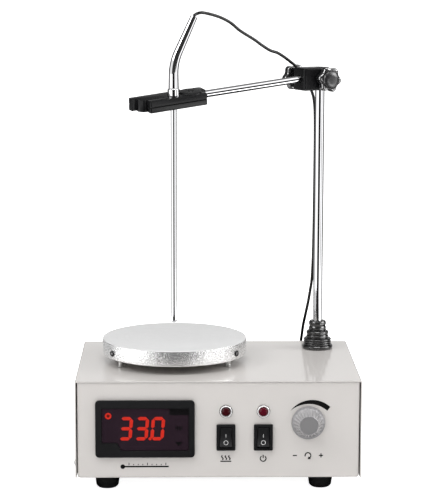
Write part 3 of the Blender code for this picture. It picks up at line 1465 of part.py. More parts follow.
def make_lead():
    """The probe's lead in two stretches, with its plug and the socket in the rear panel."""
    handle_end, before = tube_points()[-1], tube_points()[-2]
    out = (handle_end - before).normalized()
    start = handle_end + out * (FIT + LEAD_RADIUS / 2)
    upper = [start, start + out * LEAD_STUB] + [by_mast(*p) for p in UPPER_ROUTE]
    socket = frame(SOCKET_X, REAR_Y, SOCKET_Z, "rear")
    flange = FIT + SOCKET_FLANGE_HEIGHT
    socket_piece = turned(
        "probe_socket",
        [
            (0, flange),
            (SOCKET_FLANGE_RADIUS, flange),
            (SOCKET_FLANGE_RADIUS, FIT),
            (SOCKET_BARREL_RADIUS, FIT),
            (SOCKET_BARREL_RADIUS, -SOCKET_BARREL_LENGTH),
            (0, -SOCKET_BARREL_LENGTH),
        ],
        STEEL, socket, 24,
    )
    bore = bmesh.new()
    add_rod(bore, SOCKET_BORE_RADIUS, flange - SOCKET_BORE_DEPTH, flange + OVER, socket, 20)
    cut(socket_piece, bore, "cut_socket_bore")
    seat = flange + FIT
    body_end = seat + PLUG_BODY_LENGTH
    tail_end = body_end + PLUG_TAIL_LENGTH
    turned(
        "probe_plug",
        [
            (0, tail_end),
            (PLUG_TAIL_RADIUS * 0.8, tail_end),
            (PLUG_TAIL_RADIUS, body_end),
            (PLUG_BODY_RADIUS * 0.8, body_end),
            (PLUG_BODY_RADIUS, body_end - PLUG_BODY_LENGTH * 0.25),
            (PLUG_BODY_RADIUS, seat),
            (PLUG_PIN_RADIUS, seat),
            (PLUG_PIN_RADIUS, seat - PLUG_PIN_LENGTH),
            (0, seat - PLUG_PIN_LENGTH),
        ],
        BLACK_PLASTIC, socket, 20,
    )
    tail = socket @ Vector((0, 0, tail_end + FIT))
    onward = (by_mast(*LOWER_ROUTE[0]) - upper[-1]).normalized()
    lower = [upper[-1] + onward * FIT] + [by_mast(*p) for p in LOWER_ROUTE]
    lower += [tail + Vector((0, LEAD_STUB, 0)), tail]
    tube("probe_lead_upper", smooth_route(upper, LEAD_STEP), LEAD_RADIUS, BLACK_RUBBER)
    tube("probe_lead_lower", smooth_route(lower, LEAD_STEP), LEAD_RADIUS, BLACK_RUBBER)


def make_rear_fittings():
    """Mains inlet and fuse holder in the rear panel."""
    place = frame(INLET_X, REAR_Y, INLET_Z, "rear")
    flange = FIT + INLET_FLANGE
    inlet = prism(
        "power_inlet", round_rectangle(INLET_FLANGE_WIDTH, INLET_FLANGE_HEIGHT, INLET_CORNER, 3),
        FIT, flange, BLACK_PLASTIC, place,
    )
    body = bmesh.new()
    body_top = FIT + INLET_FLANGE / 2
    add_block(
        body, (INLET_BODY_WIDTH, INLET_BODY_HEIGHT, INLET_BODY_DEPTH + body_top),
        place @ Matrix.Translation((0, 0, (body_top - INLET_BODY_DEPTH) / 2)),
    )
    join(inlet, body, "join_inlet_body")
    across, up = INLET_MOUTH_WIDTH / 2, INLET_MOUTH_HEIGHT / 2
    mouth = [
        (across, -up),
        (across, up - INLET_MOUTH_CUT),
        (across - INLET_MOUTH_CUT, up),
        (-across + INLET_MOUTH_CUT, up),
        (-across, up - INLET_MOUTH_CUT),
        (-across, -up),
    ]
    floor = flange - INLET_MOUTH_DEPTH
    recess = bmesh.new()
    add_outline(recess, mouth, floor, flange + OVER, place)
    cut(inlet, recess, "cut_inlet_recess")
    pins = bmesh.new()
    spots = ((-INLET_PIN_SPREAD, -INLET_PIN_RISE), (0, INLET_PIN_RISE), (INLET_PIN_SPREAD, -INLET_PIN_RISE))
    for x, y in spots:
        add_block(
            pins, (INLET_PIN_WIDTH, INLET_PIN_HEIGHT, INLET_PIN_LENGTH + INLET_PIN_ROOT),
            place @ Matrix.Translation((x, y, floor + (INLET_PIN_LENGTH - INLET_PIN_ROOT) / 2)),
        )
    join(inlet, pins, "join_inlet_pins")
    fuse_place = frame(FUSE_X, REAR_Y, FUSE_Z, "rear")
    cap = FIT + FUSE_CAP_HEIGHT
    fuse = turned(
        "fuse_holder",
        [
            (0, cap),
            (FUSE_CAP_RADIUS * 0.82, cap),
            (FUSE_CAP_RADIUS * 0.9, cap - FUSE_CAP_HEIGHT * 0.1),
            (FUSE_CAP_RADIUS * 0.9, FIT + FUSE_CAP_HEIGHT * 0.35),
            (FUSE_CAP_RADIUS, FIT + FUSE_CAP_HEIGHT * 0.35),
            (FUSE_CAP_RADIUS, FIT),
            (FUSE_BARREL_RADIUS, FIT),
            (FUSE_BARREL_RADIUS, -FUSE_BARREL_LENGTH),
            (0, -FUSE_BARREL_LENGTH),
        ],
        BLACK_PLASTIC, fuse_place, 24,
    )
    slot = bmesh.new()
    add_block(
        slot, (2 * FUSE_CAP_RADIUS * 0.6, FUSE_SLOT_WIDTH, 2 * FUSE_SLOT_DEPTH),
        fuse_place @ Matrix.Translation((0, 0, cap)),
    )
    cut(fuse, slot, "cut_fuse_slot")


def make_control_board():
    """Speed and heat control board on legs above the floor."""
    top = FLOOR_TOP + FIT + BOARD_LEG_HEIGHT + BOARD_THICKNESS
    middle = frame(BOARD_X, FRONT_Y + BOARD_BACK, 0)
    board = block(
        "control_board", (BOARD_WIDTH, BOARD_DEPTH, BOARD_THICKNESS), CIRCUIT,
        middle @ Matrix.Translation((0, 0, top - BOARD_THICKNESS / 2)),
    )
    on_board = bmesh.new()
    inset_x = BOARD_WIDTH / 2 - BOARD_LEG_INSET
    inset_y = BOARD_DEPTH / 2 - BOARD_LEG_INSET
    for sx in (-1, 1):
        for sy in (-1, 1):
            add_rod(
                on_board, BOARD_LEG_RADIUS, FLOOR_TOP + FIT, top - BOARD_THICKNESS / 2,
                middle @ Matrix.Translation((sx * inset_x, sy * inset_y, 0)), 12,
            )
    add_block(
        on_board, (SINK_WIDTH, SINK_DEPTH, SINK_HEIGHT + BOARD_THICKNESS / 2),
        middle @ Matrix.Translation((0, inset_y - SINK_DEPTH, top + (SINK_HEIGHT - BOARD_THICKNESS / 2) / 2)),
    )
    for x in CAPACITOR_SPOTS:
        add_rod(
            on_board, CAPACITOR_RADIUS, top - BOARD_THICKNESS / 2, top + CAPACITOR_HEIGHT,
            middle @ Matrix.Translation((x, -inset_y / 2, 0)), 16,
        )
    join(board, on_board, "join_board_pieces")


def main():
    for thing in list(bpy.data.objects):
        bpy.data.objects.remove(thing)
    bpy.context.scene.collection.children.link(PARTS)
    bpy.context.scene.collection.children.link(TOOLS)
    make_base_pan()
    make_cover()
    make_feet()
    make_cover_screws()
    make_hot_plate()
    make_drive()
    make_display()
    for name, x in (("heat", HEAT_X), ("power", POWER_X)):
        make_switch(name, x)
        make_lamp(name, x)
    make_speed_control()
    make_mast()
    make_boss()
    make_arm()
    make_clip()
    make_probe()
    make_lead()
    make_rear_fittings()
    make_control_board()


main()
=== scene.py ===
"""Looks of the magnetic stirrer: finishes, fine shapes and the lead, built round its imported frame."""
import json
import math

import bmesh
import bpy
from mathutils import Matrix, Vector


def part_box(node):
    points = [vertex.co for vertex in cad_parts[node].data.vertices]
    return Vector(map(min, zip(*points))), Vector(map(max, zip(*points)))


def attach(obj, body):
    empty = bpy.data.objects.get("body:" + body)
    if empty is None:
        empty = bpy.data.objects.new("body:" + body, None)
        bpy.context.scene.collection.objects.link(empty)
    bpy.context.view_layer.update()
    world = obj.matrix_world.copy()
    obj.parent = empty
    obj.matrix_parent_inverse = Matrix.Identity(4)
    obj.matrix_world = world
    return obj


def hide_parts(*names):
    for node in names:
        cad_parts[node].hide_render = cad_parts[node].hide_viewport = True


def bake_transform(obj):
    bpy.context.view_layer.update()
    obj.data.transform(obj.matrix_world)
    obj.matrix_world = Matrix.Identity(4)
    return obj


bl_info = {
    "name": "Magnetic Stirrer Looks",
    "version": (1, 0, 0),
    "blender": (4, 5, 0),
    "location": "View3D > Sidebar > Stirrer",
    "description": "Dresses the packed magnetic stirrer with its finishes and fine shapes",
    "category": "Object",
}

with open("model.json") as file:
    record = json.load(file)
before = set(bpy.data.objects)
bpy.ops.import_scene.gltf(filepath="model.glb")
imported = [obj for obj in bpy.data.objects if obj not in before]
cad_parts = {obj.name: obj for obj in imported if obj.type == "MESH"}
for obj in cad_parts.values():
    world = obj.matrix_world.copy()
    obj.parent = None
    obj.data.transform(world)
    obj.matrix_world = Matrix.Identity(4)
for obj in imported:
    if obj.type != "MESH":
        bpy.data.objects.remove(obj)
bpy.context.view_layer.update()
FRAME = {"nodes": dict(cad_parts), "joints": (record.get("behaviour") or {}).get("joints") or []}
NODES = FRAME["nodes"]
JOINTS = {joint["name"]: joint for joint in FRAME["joints"]}


def low(name):
    """The lowest corner of a node's box."""
    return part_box(name)[0]


def high(name):
    """The highest corner of a node's box."""
    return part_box(name)[1]


def middle(name):
    """The middle of a node's box."""
    return (low(name) + high(name)) / 2


def joint_at(name):
    """The point that a joint turns or slides through."""
    return Vector(JOINTS[name]["pos_m"])


def joint_axis(name):
    """The direction of a joint's axis."""
    return Vector(JOINTS[name]["axis"]).normalized()


# Places that the frame gives
UP = Vector((0, 0, 1))
FRONT_Y = low("base_pan").y
REAR_Y = high("base_pan").y
CASE_TOP = high("cover").z
PLATE = middle("hot_plate")
PLATE_BOTTOM = low("hot_plate").z
PLATE_RADIUS = (high("hot_plate").x - low("hot_plate").x) / 2
MAST = middle("mast")
BOSS_Z = middle("boss_body").z
ARM_DIRECTION = joint_axis("arm_roll")
ARM_START = joint_at("arm_roll")
ARM_LEVEL = Vector((ARM_DIRECTION.x, ARM_DIRECTION.y, 0)).normalized()
ARM_FRONT = Vector((-ARM_LEVEL.y, ARM_LEVEL.x, 0))
PIN_UP = joint_axis("jaw_open")
PIN_AT = joint_at("jaw_open")
PROBE_AT = middle("probe_ferrule")

# Sizes that the frame's boxes don't give
FIT = 0.0003
MAST_RADIUS = 0.0040
BOSS_REACH = 0.020
BOSS_FRONT = 0.0080
BOSS_BACK = 0.0110
STUD_RADIUS = 0.0025
ARM_RADIUS = 0.0030
ARM_SOCKET = 0.012
CLIP_RISE = 0.0049
CLIP_SLOT = 0.0040
CLIP_OUTER = 0.0100
CLIP_TAIL = 0.0300
CLIP_PIN_ALONG = 0.0160
CLIP_PIN_SIDE = 0.0005
CLIP_PIN_RADIUS = 0.0015
CLIP_EAR_SINK = 0.0014
CLIP_EAR_RADIUS = 0.0092
CLIP_SPRING_SINK = 0.0045
CLIP_ALONG = (PIN_AT - ARM_START).dot(ARM_DIRECTION) + CLIP_PIN_ALONG
STEM_RADIUS = 0.0025
FERRULE_RADIUS = 0.0050
TUBE_LEAN = 27
TUBE_STRAIGHT = 0.011
TUBE_BEND_RADIUS = 0.040
TUBE_LEAN_LENGTH = 0.0315
TUBE_RADIUS = 0.0042
TUBE_TOP_RADIUS = 0.0029
ROCKER_RADIUS = 0.0084
ROCKER_VALLEY = 0.0016
ROCKER_DISH = 0.0005

# Places on the display's window, from the middle of the case and the bench
DIGITS_AT = (-0.0614, 0.0526)
DISPLAY_LAMP_AT = (-0.0882, 0.0630)
KEYS_AT = (-0.0318, 0.0525)

# Print on the panel: where it starts and ends in height, and the width of a sign's line
INK_BOTTOM = 0.00003
INK_TOP = 0.00009
INK_LINE = 0.0009

# The camera, in millimetres, metres and degrees
CAMERA_LENS = 137.2
CAMERA_SENSOR = 36.0
CAMERA_AT = (-0.0273, FRONT_Y - 1.485, 0.4354)
CAMERA_PITCH = 9.12
CAMERA_YAW = 1.03
CAMERA_ROLL = 0.10

# The point that the lights face
LIGHTS_AIM = Vector((0, 0, 0.15))


class StirrerSizes(bpy.types.PropertyGroup):
    """Sizes of the shapes that the looks add to the frame."""

    plate_edge: bpy.props.FloatProperty(
        name="Plate edge", description="Rounding of the hot plate's edges",
        default=0.0008, min=0.0002, max=0.003, unit="LENGTH",
    )
    digit_height: bpy.props.FloatProperty(
        name="Digit height", description="Height of the lit digits",
        default=0.0193, min=0.005, max=0.025, unit="LENGTH",
    )
    digit_stroke: bpy.props.FloatProperty(
        name="Digit stroke", description="Width of a lit segment",
        default=0.0027, min=0.001, max=0.004, unit="LENGTH",
    )
    knob_flutes: bpy.props.IntProperty(
        name="Knob flutes", description="Flutes round the speed knob",
        default=24, min=8, max=60,
    )
    lead_diameter: bpy.props.FloatProperty(
        name="Lead diameter", description="Thickness of the probe's lead",
        default=0.0025, min=0.0015, max=0.005, unit="LENGTH",
    )


class StirrerColours(bpy.types.PropertyGroup):
    """Colours of the stirrer's finishes."""

    paint: bpy.props.FloatVectorProperty(
        name="Case paint", description="Warm light grey of the case",
        subtype="COLOR", size=3, min=0, max=1, default=(0.60, 0.575, 0.555),
    )
    aluminium: bpy.props.FloatVectorProperty(
        name="Plate aluminium", description="Turned aluminium of the plate",
        subtype="COLOR", size=3, min=0, max=1, default=(0.60, 0.60, 0.60),
    )
    plastic: bpy.props.FloatVectorProperty(
        name="Black plastic", description="Clamps, clip, switches and display housing",
        subtype="COLOR", size=3, min=0, max=1, default=(0.010, 0.010, 0.011),
    )
    knob: bpy.props.FloatVectorProperty(
        name="Speed knob", description="Grey plastic of the speed knob",
        subtype="COLOR", size=3, min=0, max=1, default=(0.27, 0.265, 0.27),
    )
    digits: bpy.props.FloatVectorProperty(
        name="Digits", description="Light of the display's digits",
        subtype="COLOR", size=3, min=0, max=1, default=(0.88, 0.030, 0.014),
    )


def sizes():
    """The sizes that the panel shows."""
    return bpy.context.scene.stirrer_sizes


def colours():
    """The colours that the panel shows."""
    return bpy.context.scene.stirrer_colours


# Shader nodes


def feed(tree, value, socket):
    """Sets a number or a colour on a socket, or links another socket to it."""
    if isinstance(value, bpy.types.NodeSocket):
        tree.links.new(value, socket)
    elif isinstance(value, (tuple, list)):
        socket.default_value = (*value, 1.0)
    else:
        socket.default_value = value


def math_node(tree, operation, *values):
    """The result of a Math node on sockets or numbers."""
    made = tree.nodes.new("ShaderNodeMath")
    made.operation = operation
    for value, socket in zip(values, made.inputs):
        feed(tree, value, socket)
    return made.outputs[0]


def product(tree, first, *others):
    """The product of sockets or numbers."""
    for other in others:
        first = math_node(tree, "MULTIPLY", first, other)
    return first


def total(tree, first, *others):
    """The sum of sockets or numbers."""
    for other in others:
        first = math_node(tree, "ADD", first, other)
    return first


def remap(tree, value, start, end, least=0.0, most=1.0):
    """A value taken from one range to another and held at its ends."""
    made = tree.nodes.new("ShaderNodeMapRange")
    for name, part in (
        ("Value", value), ("From Min", start), ("From Max", end), ("To Min", least), ("To Max", most),
    ):
        feed(tree, part, made.inputs[name])
    return made.outputs["Result"]


def mix_colour(tree, share, first, second):
    """A colour between two others by a share."""
    made = tree.nodes.new("ShaderNodeMix")
    made.data_type = "RGBA"
    sockets = {socket.identifier: socket for socket in made.inputs}
    for name, value in (("Factor_Float", share), ("A_Color", first), ("B_Color", second)):
        feed(tree, value, sockets[name])
    return next(socket for socket in made.outputs if socket.identifier == "Result_Color")


def noise(tree, vector, scale, detail, rough):
    """The value of a noise texture on a vector."""
    made = tree.nodes.new("ShaderNodeTexNoise")
    for name, value in (("Vector", vector), ("Scale", scale), ("Detail", detail), ("Roughness", rough)):
        feed(tree, value, made.inputs[name])
    return made.outputs["Fac"]


def split_xyz(tree, vector):
    """The three parts of a vector."""
    made = tree.nodes.new("ShaderNodeSeparateXYZ")
    tree.links.new(vector, made.inputs[0])
    return tuple(made.outputs)


def new_group(name, inputs, outputs):
    """An empty shader node group with its sockets, and its input and output nodes."""
    group = bpy.data.node_groups.new(name, "ShaderNodeTree")
    group.interface.new_socket(name="Vector", in_out="INPUT", socket_type="NodeSocketVector")
    for socket, default in inputs.items():
        made = group.interface.new_socket(name=socket, in_out="INPUT", socket_type="NodeSocketFloat")
        made.default_value = default
    for socket in outputs:
        group.interface.new_socket(name=socket, in_out="OUTPUT", socket_type="NodeSocketFloat")
    return group, group.nodes.new("NodeGroupInput").outputs, group.nodes.new("NodeGroupOutput").inputs


def grain_group():
    """Fine moulded or sprayed grain: a slow cloud, a fine height and a rough value."""
    group, given, result = new_group(
        "Surface Grain",
        {"Grain": 2200.0, "Cloud": 22.0, "Rough Low": 0.3, "Rough High": 0.4},
        ("Cloud", "Height", "Roughness"),
    )
    fine = noise(group, given["Vector"], given["Grain"], 2.0, 0.55)
    slow = noise(group, given["Vector"], given["Cloud"], 3.0, 0.6)
    share = product(group, total(group, fine, slow), 0.5)
    rough = remap(group, share, 0.3, 0.7, given["Rough Low"], given["Rough High"])
    for name, value in (("Cloud", slow), ("Height", fine), ("Roughness", rough)):
        group.links.new(value, result[name])
    return group


def turned_group():
    """Marks of a lathe round the local Z axis: rings across, and streaks that run round."""
    group, given, result = new_group(
        "Turned Marks", {"Rings": 900.0, "Streaks": 14.0}, ("Mark", "Blotch"),
    )
    x, y, z = split_xyz(group, given["Vector"])
    radius = math_node(group, "SQRT", total(group, product(group, x, x), product(group, y, y)))
    angle = math_node(group, "ARCTAN2", y, x)
    rings = product(group, total(group, radius, z), given["Rings"])
    turn = product(group, math_node(group, "COSINE", angle), 0.6)
    side = product(group, math_node(group, "SINE", angle), 0.6)
    place = group.nodes.new("ShaderNodeCombineXYZ")
    for value, socket in zip((rings, turn, side), place.inputs):
        group.links.new(value, socket)
    marks = noise(group, place.outputs[0], 1.0, 4.0, 0.6)
    blotch = noise(group, given["Vector"], product(group, given["Streaks"], 10.0), 3.0, 0.65)
    group.links.new(marks, result["Mark"])
    group.links.new(blotch, result["Blotch"])
    return group


GROUPS = {}


def shared_group(name):
    """A node group that several finishes share, built on first use."""
    if name not in GROUPS:
        GROUPS[name] = {"grain": grain_group, "turned": turned_group}[name]()
    return GROUPS[name]


# Finishes


def new_finish(name, **sockets):
    """A material with a Principled shader and plain values on its sockets, its tree and its shader."""
    made = bpy.data.materials.new(name)
    made.use_nodes = True
    tree = made.node_tree
    shader = tree.nodes["Principled BSDF"]
    for socket, value in sockets.items():
        feed(tree, value, shader.inputs[socket.replace("_", " ")])
    return made, tree, shader


def use_group(tree, name, **values):
    """A shared group placed in a material on object coordinates."""
    made = tree.nodes.new("ShaderNodeGroup")
    made.node_tree = shared_group(name)
    place = tree.nodes.new("ShaderNodeTexCoord")
    tree.links.new(place.outputs["Object"], made.inputs["Vector"])
    for key, value in values.items():
        made.inputs[key.replace("_", " ")].default_value = value
    return made.outputs


def bump(tree, shader, height, strength, distance):
    """A bump from a height into the shader's normal."""
    made = tree.nodes.new("ShaderNodeBump")
    for name, value in (("Strength", strength), ("Distance", distance), ("Height", height)):
        feed(tree, value, made.inputs[name])
    tree.links.new(made.outputs["Normal"], shader.inputs["Normal"])


def shade(colour, share):
    """A colour made darker."""
    return tuple(c * share for c in colour)


def tones(colour, tone):
    """A darker and a paler tone of a colour."""
    return shade(colour, 1 - tone), tuple(min(1.0, c * (1 + tone)) for c in colour)


def grained(name, colour, rough, grain=2200.0, depth=0.00004, tone=0.25, cloud=22.0, **sockets):
    """A painted or moulded finish: fine grain, slow changes of tone and of gloss."""
    made, tree, shader = new_finish(name, **sockets)
    marks = use_group(tree, "grain", Grain=grain, Cloud=cloud, Rough_Low=rough[0], Rough_High=rough[1])
    mixed = mix_colour(tree, marks["Cloud"], *tones(colour, tone))
    tree.links.new(mixed, shader.inputs["Base Color"])
    tree.links.new(marks["Roughness"], shader.inputs["Roughness"])
    bump(tree, shader, marks["Height"], 0.35, depth)
    return made


def turned_metal(name, colour, rough, rings, depth, tone=0.10, streaks=14.0, metal=1.0):
    """A metal finish with lathe marks round the piece's own axis."""
    made, tree, shader = new_finish(name, Metallic=metal)
    marks = use_group(tree, "turned", Rings=rings, Streaks=streaks)
    share = math_node(tree, "SUBTRACT", total(tree, marks["Mark"], marks["Blotch"]), 0.5)
    tree.links.new(mix_colour(tree, share, *tones(colour, tone)), shader.inputs["Base Color"])
    tree.links.new(remap(tree, share, 0.0, 1.0, *rough), shader.inputs["Roughness"])
    bump(tree, shader, marks["Mark"], 0.4, depth)
    return made


def speckled_metal(name, colour, rough, grain, depth, metal):
    """Bare metal with a coarse sparkling grain."""
    made, tree, shader = new_finish(name, Metallic=metal)
    marks = use_group(tree, "grain", Grain=grain, Cloud=60.0, Rough_Low=rough[0], Rough_High=rough[1])
    spots = remap(tree, marks["Height"], 0.36, 0.58)
    mixed = mix_colour(tree, spots, shade(colour, 0.74), colour)
    tree.links.new(mixed, shader.inputs["Base Color"])
    tree.links.new(marks["Roughness"], shader.inputs["Roughness"])
    bump(tree, shader, marks["Height"], 0.5, depth)
    return made


def lens_finish(name, core, edge, light):
    """Red plastic that glows a little, blotched with a darker red, with fine facets."""
    made, tree, shader = new_finish(
        name, Roughness=0.14, Specular_IOR_Level=0.3, Emission_Color=core, Emission_Strength=light,
    )
    marks = use_group(tree, "turned", Rings=900.0, Streaks=60.0)
    tree.links.new(mix_colour(tree, marks["Blotch"], edge, core), shader.inputs["Base Color"])
    bump(tree, shader, marks["Blotch"], 0.3, 0.0001)
    return made


def glow(name, colour, strength):
    """Lit plastic that is a little uneven."""
    made, tree, shader = new_finish(
        name, Base_Color=shade(colour, 0.06), Roughness=0.35, Emission_Strength=strength,
    )
    marks = use_group(tree, "grain", Grain=700.0, Cloud=260.0)
    mixed = mix_colour(tree, marks["Cloud"], shade(colour, 0.55), colour)
    tree.links.new(mixed, shader.inputs["Emission Color"])
    return made


FINISHES = {}


def make_finishes():
    """Every finish of the stirrer, by name."""
    tint = colours()
    plastic = tuple(tint.plastic)
    FINISHES.update(
        paint=grained(
            "case_paint", tuple(tint.paint), (0.30, 0.38), grain=1500.0, depth=0.00002, tone=0.02,
            cloud=9.0, Coat_Weight=1.0, Coat_Roughness=0.10, Specular_IOR_Level=0.3,
        ),
        plate=turned_metal(
            "plate_aluminium", tuple(tint.aluminium), (0.48, 0.60), 1500.0, 0.00004, 0.06, metal=0.15,
        ),
        rim=speckled_metal("plate_rim", (0.92, 0.92, 0.92), (0.16, 0.26), 1000.0, 0.00080, 0.82),
        aluminium=turned_metal("plain_aluminium", (0.72, 0.72, 0.72), (0.32, 0.45), 700.0, 0.00003),
        chrome=turned_metal("chrome", (0.60, 0.60, 0.61), (0.03, 0.06), 300.0, 0.000003, 0.02, 8.0),
        ring=turned_metal("lamp_ring", (0.85, 0.84, 0.84), (0.20, 0.30), 900.0, 0.00002, metal=0.25),
        steel=turned_metal("plated_steel", (0.62, 0.62, 0.61), (0.22, 0.34), 1200.0, 0.00003),
        brass=turned_metal("brass", (0.72, 0.55, 0.25), (0.28, 0.40), 1200.0, 0.00003),
        plastic=grained(
            "black_plastic", plastic, (0.16, 0.26), grain=2600.0, depth=0.00003, Specular_IOR_Level=0.4,
        ),
        satin=grained(
            "satin_black_plastic", plastic, (0.38, 0.50), grain=3000.0, depth=0.00005,
            Specular_IOR_Level=0.3,
        ),
        star=grained(
            "star_plastic", plastic, (0.12, 0.20), grain=2600.0, depth=0.00003, IOR=2.0,
            Specular_IOR_Level=1.0,
        ),
        cap=grained("cap_plastic", plastic, (0.28, 0.36), grain=2600.0, depth=0.00002, IOR=1.75),
        clip=grained(
            "clip_plastic", shade(plastic, 0.6), (0.22, 0.32), grain=3000.0, depth=0.00003,
            Specular_IOR_Level=0.17,
        ),
        rocker=grained(
            "rocker_plastic", (0.013, 0.013, 0.014), (0.40, 0.50), grain=3000.0, depth=0.00004, tone=0.1,
            Specular_IOR_Level=0.2,
        ),
        dark_steel=grained(
            "blackened_steel", (0.030, 0.030, 0.032), (0.34, 0.44), grain=3000.0, depth=0.00003, tone=0.2,
            Metallic=0.6,
        ),
        rubber=grained(
            "black_rubber", (0.009, 0.009, 0.009), (0.14, 0.22), grain=1800.0, depth=0.00004, tone=0.3,
            IOR=1.75,
        ),
        lead=grained(
            "lead_rubber", (0.007, 0.007, 0.007), (0.26, 0.36), grain=2500.0, depth=0.00003, tone=0.3,
            Specular_IOR_Level=0.3,
        ),
        window=grained(
            "smoked_window", (0.020, 0.011, 0.017), (0.08, 0.14), grain=900.0, depth=0.000004, tone=0.15,
        ),
        knob=grained(
            "knob_plastic", tuple(tint.knob), (0.14, 0.24), grain=1200.0, depth=0.00003, tone=0.14,
            cloud=140.0, Coat_Weight=0.8, Coat_Roughness=0.08,
        ),
        knob_cap=grained(
            "knob_cap", shade(tint.knob, 0.72), (0.34, 0.42), grain=2500.0, depth=0.00003, tone=0.05,
        ),
        lamp_dark=lens_finish("dim_red_lens", (0.055, 0.004, 0.007), (0.010, 0.001, 0.002), 0.10),
        lamp_lit=lens_finish("bright_red_lens", (0.085, 0.003, 0.010), (0.020, 0.001, 0.003), 0.30),
        ink=grained(
            "panel_ink", (0.006, 0.006, 0.006), (0.45, 0.55), depth=0.00001, tone=0.15,
            Specular_IOR_Level=0.1,
        ),
        white_ink=grained("switch_ink", (0.74, 0.74, 0.74), (0.40, 0.50), depth=0.00001, tone=0.05),
        circuit=grained("circuit_board", (0.05, 0.20, 0.09), (0.40, 0.55), tone=0.2),
        magnet=grained("sintered_magnet", (0.10, 0.10, 0.11), (0.50, 0.65), tone=0.15),
        ceramic=grained("heater_pad", (0.62, 0.58, 0.52), (0.60, 0.75), tone=0.10),
        digits=glow("lit_digits", tuple(tint.digits), 0.85),
        digit_core=glow("digit_cores", tuple(tint.digits), 0.12),
        dim=grained("dark_legend", (0.004, 0.003, 0.004), (0.30, 0.40), depth=0.00001, tone=0.1),
    )


def material(name):
    """A finish by its name; all of them are made on first use."""
    if not FINISHES:
        make_finishes()
    return FINISHES[name]


# Places


def front_place(x, z, out=0.0):
    """A place on the front panel that faces the operator: local X right, Y up and Z outwards."""
    return Matrix.Translation((x, FRONT_Y - out, z)) @ Matrix.Rotation(math.pi / 2, 4, "X")


def rear_place(x, z):
    """A place on the rear panel that faces out: local X right, Y down and Z outwards."""
    return Matrix.Translation((x, REAR_Y, z)) @ Matrix.Rotation(-math.pi / 2, 4, "X")


def axes_place(origin, along, up):
    """A place with local X along one direction and Z along another square to it."""
    side = up.cross(along)
    return Matrix.Translation(origin) @ Matrix((along, side, up)).transposed().to_4x4()


def facing_place(origin, out):
    """A place whose local Z points outwards."""
    across = UP.cross(out)
    across = across.normalized() if across.length > 1e-4 else Vector((1, 0, 0))
    return axes_place(origin, across, out)


def joint_place(name):
    """A place at a joint, with its local Z on the joint's axis."""
    return facing_place(joint_at(name), joint_axis(name))


# Pieces


def add_piece(name, bm, place, finish, smooth=40):
    """An object of what was modelled, with its finish and smooth shading up to an angle."""
    bmesh.ops.recalc_face_normals(bm, faces=bm.faces)
    mesh = bpy.data.meshes.new(name)
    bm.to_mesh(mesh)
    bm.free()
    mesh.shade_smooth()
    mesh.set_sharp_from_angle(angle=math.radians(smooth))
    made = bpy.data.objects.new(name, mesh)
    bpy.context.scene.collection.objects.link(made)
    made.matrix_world = place
    mesh.materials.append(material(finish))
    return made


def dress(piece, body, slot, *nodes):
    """Lets a piece ride on its body and stand for its nodes; its slot is not used."""
    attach(piece, body)
    if nodes:
        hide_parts(*nodes)


def paint_node(name, finish):
    """A better finish on a piece of the frame that stays."""
    mesh = NODES[name].data
    mesh.materials.clear()
    mesh.materials.append(material(finish))
    mesh.shade_smooth()
    mesh.set_sharp_from_angle(angle=math.radians(35))


def finish_faces(piece, finish, wanted):
    """A second finish on the faces that a test picks."""
    piece.data.materials.append(material(finish))
    for face in piece.data.polygons:
        if wanted(face):
            face.material_index = 1


# Outlines


def arc(x, y, radius, start, end, steps):
    """Points on an arc between two angles in degrees."""
    angles = [math.radians(start + (end - start) * i / steps) for i in range(steps + 1)]
    return [(x + radius * math.cos(a), y + radius * math.sin(a)) for a in angles]


def circle(x, y, radius, count):
    """A round outline."""
    return arc(x, y, radius, 0, 360, count)[:-1]


def rectangle(x, y, width, height):
    """A square-cornered outline round its middle."""
    half = width / 2
    rise = height / 2
    return [(x - half, y - rise), (x + half, y - rise), (x + half, y + rise), (x - half, y + rise)]


def rounded(points):
    """A line through (x, y, rounding) points, each corner rounded by its own radius."""
    steps = 4
    line = []
    for place, (x, y, radius) in enumerate(points):
        here = Vector((x, y))
        if radius <= 0 or place in (0, len(points) - 1):
            line.append((x, y))
            continue
        before = Vector(points[place - 1][:2]) - here
        after = Vector(points[place + 1][:2]) - here
        half = before.angle(after) / 2
        reach = min(radius / math.tan(half), before.length * 0.49, after.length * 0.49)
        start = here + before.normalized() * reach
        end = here + after.normalized() * reach
        for i in range(steps + 1):
            t = i / steps
            point = start * (1 - t) ** 2 + here * 2 * t * (1 - t) + end * t * t
            line.append((point.x, point.y))
    return line


def closed_round(points):
    """A closed outline through (x, y, rounding) points."""
    return rounded([points[-1], *points, points[0]])[1:-1]


# Shapes


def lathe(bm, profile, steps, ring):
    """Turns (radius, height) points round the local Z axis."""
    verts = [bm.verts.new((radius, 0, height)) for radius, height in profile]
    pairs = list(zip(verts, verts[1:]))
    if ring:
        pairs.append((verts[-1], verts[0]))
    edges = [bm.edges.new(pair) for pair in pairs]
    bmesh.ops.spin(
        bm, geom=verts + edges, cent=(0, 0, 0), axis=(0, 0, 1), angle=2 * math.pi, steps=steps,
        use_merge=True,
    )
    bmesh.ops.remove_doubles(bm, verts=bm.verts, dist=0.000002)


def turned_piece(name, profile, place, finish, steps=64, ring=False, smooth=35):
    """A turned piece from (radius, height, rounding) points, which close on themselves in a ring."""
    bm = bmesh.new()
    lathe(bm, closed_round(profile) if ring else rounded(profile), steps, ring)
    return add_piece(name, bm, place, finish, smooth)


def rod(name, radius, bottom, top, edge, place):
    """A chromed rod with rounded ends, between two heights on a place's local Z."""
    flat = 0.002
    profile = [
        (0, top, 0), (radius, top, edge), (radius, top - flat, 0),
        (radius, bottom + flat, 0), (radius, bottom, edge), (0, bottom, 0),
    ]
    return turned_piece(name, profile, place, "chrome")


